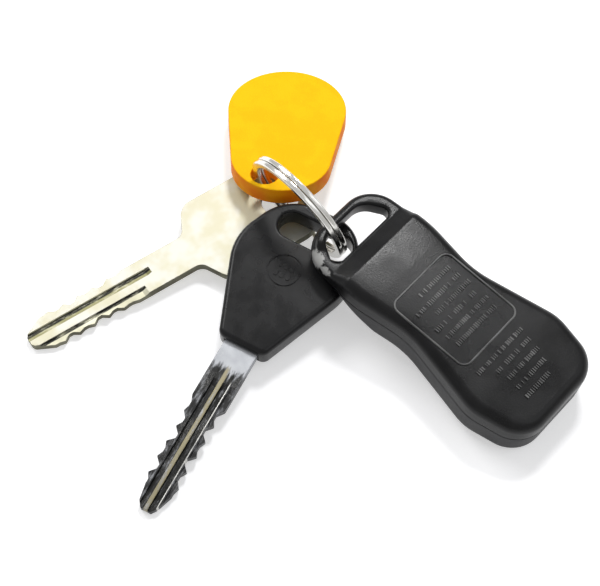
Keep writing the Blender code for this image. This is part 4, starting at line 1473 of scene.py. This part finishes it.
    def _cap(self, work: bmesh.types.BMesh, row: list[bmesh.types.BMVert], columns: int,
             crown: float) -> None:
        """Close a face with strips across the body, slightly crowned.

        Args:
            work: the mesh in progress.
            row: the rim's vertices, one half after the other.
            columns: faces across.
            crown: rise of the middle.
        """
        count = len(row)
        lines = []
        for k in range(count // 2):
            a, b = row[k], row[count - 1 - k]
            fade = min(1.0, max(0.0, (a.co.x - self.root - 4 * MM) / (8 * MM))) * \
                min(1.0, max(0.0, (self.far - 3 * MM - a.co.x) / (10 * MM)))
            line = [a]
            for c in range(1, columns):
                t = c / columns
                point = a.co.lerp(b.co, t)
                point.z += crown * fade * (1 - (2 * t - 1) ** 2)
                line.append(work.verts.new(point))
            lines.append(line + [b])
        for first, second in zip(lines, lines[1:]):
            for c in range(columns):
                work.faces.new((first[c], second[c], second[c + 1], first[c + 1]))
        for line in (lines[0], lines[-1]):
            work.faces.new(line)

    def loop_hole(self) -> bpy.types.Mesh:
        """Cutter for the D-shaped hole."""
        right = self.loop_hole_width + self.loop_bar - self.loop_reach
        left = right - self.loop_hole_width
        half = self.shoulder / 2 - self.loop_bar - 0.6 * MM
        m = self.middle
        outline = rounded_polygon([(right, m - half, 1.6 * MM), (right, m + half, 1.6 * MM),
                                   (left, m + 0.62 * half, 5 * MM),
                                   (left, m - 0.62 * half, 5 * MM)])
        return hourglass(outline, self.loop_thickness / 2, 0.7 * MM)

    def button_places(self) -> Iterable[tuple[str, float, float]]:
        """Name and centre of each button in its two-by-two group."""
        for i, name in enumerate(self.names):
            yield (name, self.button_x + (i // 2 - 0.5) * self.pitch_x,
                   self.middle + (i % 2 - 0.5) * self.pitch_y)

    def cavity(self) -> bpy.types.Mesh:
        """Hollow above the ledge that carries the keypad."""
        flange_top = self.floor + self.gap + self.button_flange
        ledge_top = flange_top + self.travel
        inner = self.form(self.wall, self.top - self.wall, ledge_top, 2)
        keep = block((self.root + 4 * MM, -0.08, -0.08), (0.08, 0.08, 0.08))
        return carve(inner, [(Cut.COMMON, keep)])

    def well(self) -> bpy.types.Mesh:
        """Narrower hollow for the buttons' flanges."""
        flange_top = self.floor + self.gap + self.button_flange
        ledge_top = flange_top + self.travel
        inner = self.form(self.wall + self.ledge, ledge_top + 0.5 * MM, self.floor, 2)
        start = self.root + self.under_ramp * 0.62
        keep = block((start, -0.08, -0.08), (0.08, 0.08, 0.08))
        return carve(inner, [(Cut.COMMON, keep)])

    def cover_meshes(self) -> tuple[bpy.types.Mesh, bpy.types.Mesh]:
        """Back cover with the loop, and front cover with the button windows."""
        far = 80 * MM
        below = block((self.root, -far, -far), (far * 2, far, self.parting))
        above = block((-far, -far, self.parting - self.gap), (far * 2, far, far))
        loop_side = block((-far, -far, -far), (self.root + self.gap, far, far))
        back = carve(self.form(), [(Cut.AWAY, below), (Cut.AWAY, self.cavity()),
                                   (Cut.AWAY, self.loop_hole())])
        tools = [above, loop_side, self.cavity(), self.well()]
        for _, x, y in self.button_places():
            size = (self.button_length + 2 * self.button_clearance,
                    self.button_width + 2 * self.button_clearance)
            tools.append(plate([box_outline((x, y), size, 2.2 * MM + self.button_clearance)],
                               self.bottom - 1 * MM, self.floor + 0.2 * MM))
        tools.append(plate([circle((self.lamp_x, self.middle), self.lamp_diameter + 2 * self.gap)],
                           self.bottom - 1 * MM, self.floor + 0.2 * MM))
        front = carve(self.form(), [(Cut.AWAY, tool) for tool in tools])
        for mesh in (back, front):
            mesh.shade_smooth()
            mesh.set_sharp_from_angle(angle=radians(38))
        return back, front

    def panel_mesh(self) -> bpy.types.Mesh:
        """Thin raised bead round the flat panel on the back."""
        x0, x1, y0, y1 = self.panel
        centre, size = ((x0 + x1) / 2, (y0 + y1) / 2), (x1 - x0, y1 - y0)
        bead = 0.42 * MM
        outer = box_outline(centre, size, 2.4 * MM)
        inner = box_outline(centre, (size[0] - 2 * bead, size[1] - 2 * bead), 2.4 * MM - bead)
        return plate([outer, inner], self.top - 0.3 * MM, self.top + 0.38 * MM, 0.16 * MM, 3)

    def button_mesh(self, x: float, y: float) -> bpy.types.Mesh:
        """Cap with a round rim, a flange under the cover and a plunger."""
        bottom = self.bottom + self.button_recess
        flange = self.floor + self.gap
        flange_top = flange + self.button_flange
        mat_top = flange_top + self.travel + self.gap + self.mat_thickness
        fillet = 2.2 * MM
        reach = self.button_clearance + self.button_flange / 2
        cap = plate([box_outline((x, y), (self.button_length, self.button_width), fillet)],
                    bottom, flange_top, 0.45 * MM, 4)
        rim = plate([box_outline((x, y), (self.button_length + 2 * reach,
                                          self.button_width + 2 * reach), fillet + reach)],
                    flange, flange_top)
        plunger = plate([circle((x, y), 2.4 * MM, 24)], flange_top - 0.2 * MM, mat_top - 0.16 * MM)
        return shade(carve(cap, [(Cut.JOIN, rim), (Cut.JOIN, plunger)]))

    def mark_mesh(self, index: int, x: float, y: float) -> bpy.types.Mesh:
        """Raised generic mark on a button: one to four dots in a row."""
        bottom = self.bottom + self.button_recess
        pitch = 1.5 * MM
        dots = [plate([circle((x + (k - index / 2) * pitch, y), 0.9 * MM, 20)],
                      bottom - 0.08 * MM, bottom + 0.1 * MM, 0.05 * MM, 2)
                for k in range(index + 1)]
        return shade(joined(dots))

    def build(self, frame: dict, effects: Effects) -> None:
        """Make the covers, the bead, the moulded ticks and the buttons."""
        place = ItemFrame.at_joint(frame, "remote_swing", self.yaw).matrix
        black, grey = CASE_BLACK.material(effects), CASE_SIDE.material(effects)
        back, front = self.cover_meshes()
        finished_piece("remote_back", back, place, [black], "remote",
                       ["remote_back_cover"])
        finished_piece("remote_front", front, place, [grey], "remote",
                       ["remote_front_cover"])
        # The bead and the ticks take the lighter grey, which is rubbed wear and painted highlight.
        mark = CASE_MARK_SHEEN.material(effects)
        finished_piece("remote_panel_bead", self.panel_mesh(), place, [mark], "remote")
        ticks = TickRows(self)
        finished_piece("remote_panel_ticks", ticks.mesh(mark), place, [mark], "remote")
        rubber, white = BUTTON_GREY.material(effects), MARK_WHITE.material(effects)
        for i, (name, x, y) in enumerate(self.button_places()):
            body = "button_" + name
            finished_piece("cap_" + name, self.button_mesh(x, y), place, [rubber], body,
                           [body])
            finished_piece("mark_" + name, self.mark_mesh(i, x, y), place, [white], body)


@dataclass
class TickRows:
    """Rows of small moulded ticks on the back cover; they spell nothing."""

    remote: Remote
    tick_height: float = 1.25 * MM
    tick_width: float = 0.26 * MM
    relief: float = 0.2 * MM
    pitch: float = 0.56 * MM
    lift: float = 0.21 * MM
    missing: float = 0.16
    margin: float = 2.5 * MM
    first_row: float = 3.4 * MM
    row_pitch: float = 2.75 * MM
    panel_ends: tuple[Point, ...] = (
        (3.7 * MM, 0.5 * MM), (0.1 * MM, 0.3 * MM), (3.5 * MM, -0.1 * MM), (0.3 * MM, 1.3 * MM),
        (0.7 * MM, 0.1 * MM), (0.5 * MM, 0.7 * MM))
    tail_rows: tuple[tuple[float, float, float], ...] = (
        (44.4 * MM, -4.6 * MM, 11.2 * MM), (47.2 * MM, -1.2 * MM, 10.0 * MM),
        (50.0 * MM, -1.8 * MM, 9.6 * MM), (52.8 * MM, -1.0 * MM, 8.4 * MM),
        (55.6 * MM, -1.8 * MM, 6.6 * MM))

    def tick(self) -> bpy.types.Mesh:
        """One low bar."""
        x, y = self.tick_height / 2, self.tick_width / 2
        return plate([[(-x, -y), (x, -y), (x, y), (-x, y)]], -0.06 * MM, self.relief,
                     0.05 * MM, 0)

    def rows(self) -> list[tuple[float, float, float]]:
        """x, first y and last y of every row."""
        x0, _, y0, y1 = self.remote.panel
        panel = [(x0 + self.first_row + self.row_pitch * k, y0 + self.margin + start,
                  y1 - self.margin - stop) for k, (start, stop) in enumerate(self.panel_ends)]
        return [*panel, *self.tail_rows]

    def tree(self, material: bpy.types.Material, tick: bpy.types.Object
             ) -> tuple[bpy.types.NodeTree, dict[str, str]]:
        """Geometry nodes that place ticks along every edge of a mesh.

        Args:
            material: the ticks' material.
            tick: object that holds one tick.

        Returns:
            The tree and its inputs' identifiers by name.
        """
        tree = bpy.data.node_groups.new("tick_rows", "GeometryNodeTree")
        face = tree.interface
        face.new_socket("Geometry", in_out="INPUT", socket_type="NodeSocketGeometry")
        spacing = face.new_socket("Spacing", in_out="INPUT", socket_type=NUMBER)
        missing = face.new_socket("Missing", in_out="INPUT", socket_type=NUMBER)
        face.new_socket("Geometry", in_out="OUTPUT", socket_type="NodeSocketGeometry")
        w = Wiring(tree)
        given, out = w.add("NodeGroupInput"), w.add("NodeGroupOutput")
        to_curve = w.add("GeometryNodeMeshToCurve")
        points = w.add("GeometryNodeCurveToPoints", mode="LENGTH")
        gone = w.add("GeometryNodeDeleteGeometry", domain="POINT")
        chance = w.add("FunctionNodeRandomValue", data_type="BOOLEAN")
        place = w.add("GeometryNodeInstanceOnPoints")
        source = w.add("GeometryNodeObjectInfo")
        stretch = w.add("FunctionNodeRandomValue", data_type="FLOAT_VECTOR")
        real = w.add("GeometryNodeRealizeInstances")
        paint = w.add("GeometryNodeSetMaterial")
        w.feed(to_curve.inputs["Mesh"], given.outputs["Geometry"])
        w.feed(points.inputs["Curve"], to_curve.outputs["Curve"])
        w.feed(points.inputs["Length"], given.outputs["Spacing"])
        probability = next(s for s in chance.inputs if s.name == "Probability")
        w.feed(probability, given.outputs["Missing"])
        chance.inputs["Seed"].default_value = 11
        chosen = next(s for s in chance.outputs if s.type == "BOOLEAN" and s.enabled)
        w.feed(gone.inputs["Geometry"], points.outputs["Points"])
        w.feed(gone.inputs["Selection"], chosen)
        source.inputs["Object"].default_value = tick
        low = [s for s in stretch.inputs if s.name == "Min"][0]
        high = [s for s in stretch.inputs if s.name == "Max"][0]
        low.default_value, high.default_value = (0.72, 0.75, 1.0), (1.0, 1.7, 1.0)
        stretch.inputs["Seed"].default_value = 4
        w.feed(place.inputs["Points"], gone.outputs["Geometry"])
        w.feed(place.inputs["Instance"], source.outputs["Geometry"])
        w.feed(place.inputs["Scale"], next(s for s in stretch.outputs if s.enabled))
        w.feed(real.inputs["Geometry"], place.outputs["Instances"])
        w.feed(paint.inputs["Geometry"], real.outputs["Geometry"])
        paint.inputs["Material"].default_value = material
        w.feed(out.inputs["Geometry"], paint.outputs["Geometry"])
        return tree, {"Spacing": spacing.identifier, "Missing": missing.identifier}

    def mesh(self, material: bpy.types.Material) -> bpy.types.Mesh:
        """All ticks as one plain mesh.

        Args:
            material: the ticks' material.

        Returns:
            The mesh in the remote's frame.
        """
        lines = bpy.data.meshes.new("tick_lines")
        work = bmesh.new()
        crown_at = self.remote.top + self.lift
        for x, first, last in self.rows():
            work.edges.new((work.verts.new((x, first, crown_at)),
                            work.verts.new((x, last, crown_at))))
        work.to_mesh(lines)
        work.free()
        tick = scratch_object("tick", self.tick())
        holder = scratch_object("tick_rows", lines)
        tree, inputs = self.tree(material, tick)
        modifier = holder.modifiers.new("rows", "NODES")
        modifier.node_group = tree
        modifier[inputs["Spacing"]] = self.pitch
        modifier[inputs["Missing"]] = self.missing
        mesh = evaluated_mesh(holder)
        bpy.data.objects.remove(tick, do_unlink=True)
        return shade(mesh)


# ---------------------------------------------------------------- inside and studio


class Inside:
    """Finishes for the pieces inside the remote and the key head."""

    finishes: dict[str, Finish] = {
        "transponder": CAPSULE_GREY, "keypad_mat": MAT_GREY, "circuit_board": BOARD_GREEN,
        "switch_1": CHIP_BLACK, "switch_2": CHIP_BLACK, "switch_3": CHIP_BLACK,
        "switch_4": CHIP_BLACK, "led": LAMP_RED, "radio_chip": CHIP_BLACK, "crystal": CELL_CAN,
        "coin_cell": CELL_CAN, "battery_contact_plus": CONTACT_TIN,
        "battery_contact_minus": CONTACT_TIN}

    def dress(self, frame: dict, effects: Effects) -> None:
        """Give every carried-over node its finish."""
        made: dict[str, bpy.types.Material] = {}
        for node, finish in self.finishes.items():
            if finish.name not in made:
                made[finish.name] = finish.material(effects)
            mesh = frame["nodes"][node].data
            mesh.materials.clear()
            mesh.materials.append(made[finish.name])
            LOG.info("%s: %s", node, finish.name)


@dataclass(frozen=True)
class Lamp:
    """Soft square lamp that points at the object: its place, side, watts and colour."""

    name: str
    place: tuple[float, float, float]
    size: float
    power: float
    colour: Colour = (1.0, 1.0, 1.0)

    def build(self) -> None:
        """Put the lamp in the scene."""
        data = bpy.data.lights.new(self.name, "AREA")
        data.size = self.size
        data.energy = self.power
        data.color = self.colour
        lamp = scratch_object(self.name, data)
        lamp.location = self.place
        lamp.rotation_euler = (-Vector(self.place)).to_track_quat("-Z", "Y").to_euler()


@dataclass
class Studio:
    """Pale floor, soft lamps, world and camera."""

    centre: Vector = field(default_factory=lambda: Vector((-0.57, -2.97, -0.17)) * MM)
    distance: float = 0.380
    elevation: float = radians(60)
    lens: float = 95.76
    floor_size: float = 3.0
    floor_glow: float = 0.45
    ambient: float = 0.36
    ambient_seen: float = 0.26
    lamps: tuple[Lamp, ...] = (Lamp("key_lamp", (-0.42, 0.42, 0.62), 0.34, 2.6),
                               Lamp("back_lamp", (0.11, 0.34, 0.61), 0.12, 2.3),
                               Lamp("fill_lamp", (0.50, -0.10, 0.75), 0.6, 1.0,
                                    (0.95, 0.97, 1.0)))

    def camera(self) -> None:
        """Camera at the usual three-quarter height, looking along +Y."""
        data = bpy.data.cameras.new("camera")
        data.lens = self.lens
        data.sensor_width = 36.0
        data.clip_start = 0.01
        camera = scratch_object("camera", data)
        back = Vector((0.0, -cos(self.elevation), sin(self.elevation)))
        camera.location = self.centre + back * self.distance
        camera.rotation_euler = (-back).to_track_quat("-Z", "Y").to_euler()
        bpy.context.scene.camera = camera

    def floor(self) -> None:
        """Pale floor that reads as white where no shadow falls."""
        mesh = bpy.data.meshes.new("floor")
        half = self.floor_size / 2
        mesh.from_pydata([(-half, -half, 0), (half, -half, 0), (half, half, 0), (-half, half, 0)],
                         [], [(0, 1, 2, 3)])
        obj = scratch_object("floor", mesh)
        material = bpy.data.materials.new("pale_floor")
        material.use_nodes = True
        w = Wiring(material.node_tree)
        shader = material.node_tree.nodes["Principled BSDF"]
        shader.inputs["Roughness"].default_value = 0.9
        shader.inputs["Specular IOR Level"].default_value = 0.1
        where = w.add("ShaderNodeTexCoord").outputs["Object"]
        fibre = w.ramp(w.noise(where, 60.0, 3.0), 0.3, 0.7)
        w.feed(shader.inputs["Base Color"], w.mix(fibre, (0.80, 0.80, 0.815),
                                                  (0.82, 0.82, 0.83)))
        shader.inputs["Emission Color"].default_value = (1.0, 1.0, 1.0, 1.0)
        path = w.add("ShaderNodeLightPath")
        seen = w.math("ADD", path.outputs["Is Camera Ray"], path.outputs["Is Glossy Ray"],
                      clamp=True)
        w.feed(shader.inputs["Emission Strength"], w.math("MULTIPLY", seen, self.floor_glow))
        mesh.materials.append(material)

    def world(self) -> None:
        """Even ambient light, white where it is seen or mirrored."""
        world = bpy.data.worlds.new("studio")
        bpy.context.scene.world = world
        world.use_nodes = True
        w = Wiring(world.node_tree)
        background = world.node_tree.nodes["Background"]
        path = w.add("ShaderNodeLightPath")
        seen = w.math("ADD", w.math("ADD", path.outputs["Is Camera Ray"],
                                    path.outputs["Is Glossy Ray"]),
                      path.outputs["Is Transmission Ray"], clamp=True)
        background.inputs["Color"].default_value = (1.0, 1.0, 1.0, 1.0)
        w.feed(background.inputs["Strength"], w.math("MULTIPLY_ADD", seen,
                                                         self.ambient_seen, self.ambient))

    def build(self) -> None:
        """Set everything up."""
        bpy.context.scene.view_settings.view_transform = "Standard"
        self.camera()
        self.floor()
        self.world()
        for lamp in self.lamps:
            lamp.build()


def main() -> None:
    """Build the dressed key ring and its studio."""
    logging.basicConfig(level=logging.INFO, format="%(name)s: %(message)s")
    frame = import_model()
    effects = Effects()
    Studio().build()
    for item in (SplitRing(), Tag(), PlainKey(), CarKey(), Remote()):
        item.build(frame, effects)
    Inside().dress(frame, effects)


if __name__ == "__main__":
    main()
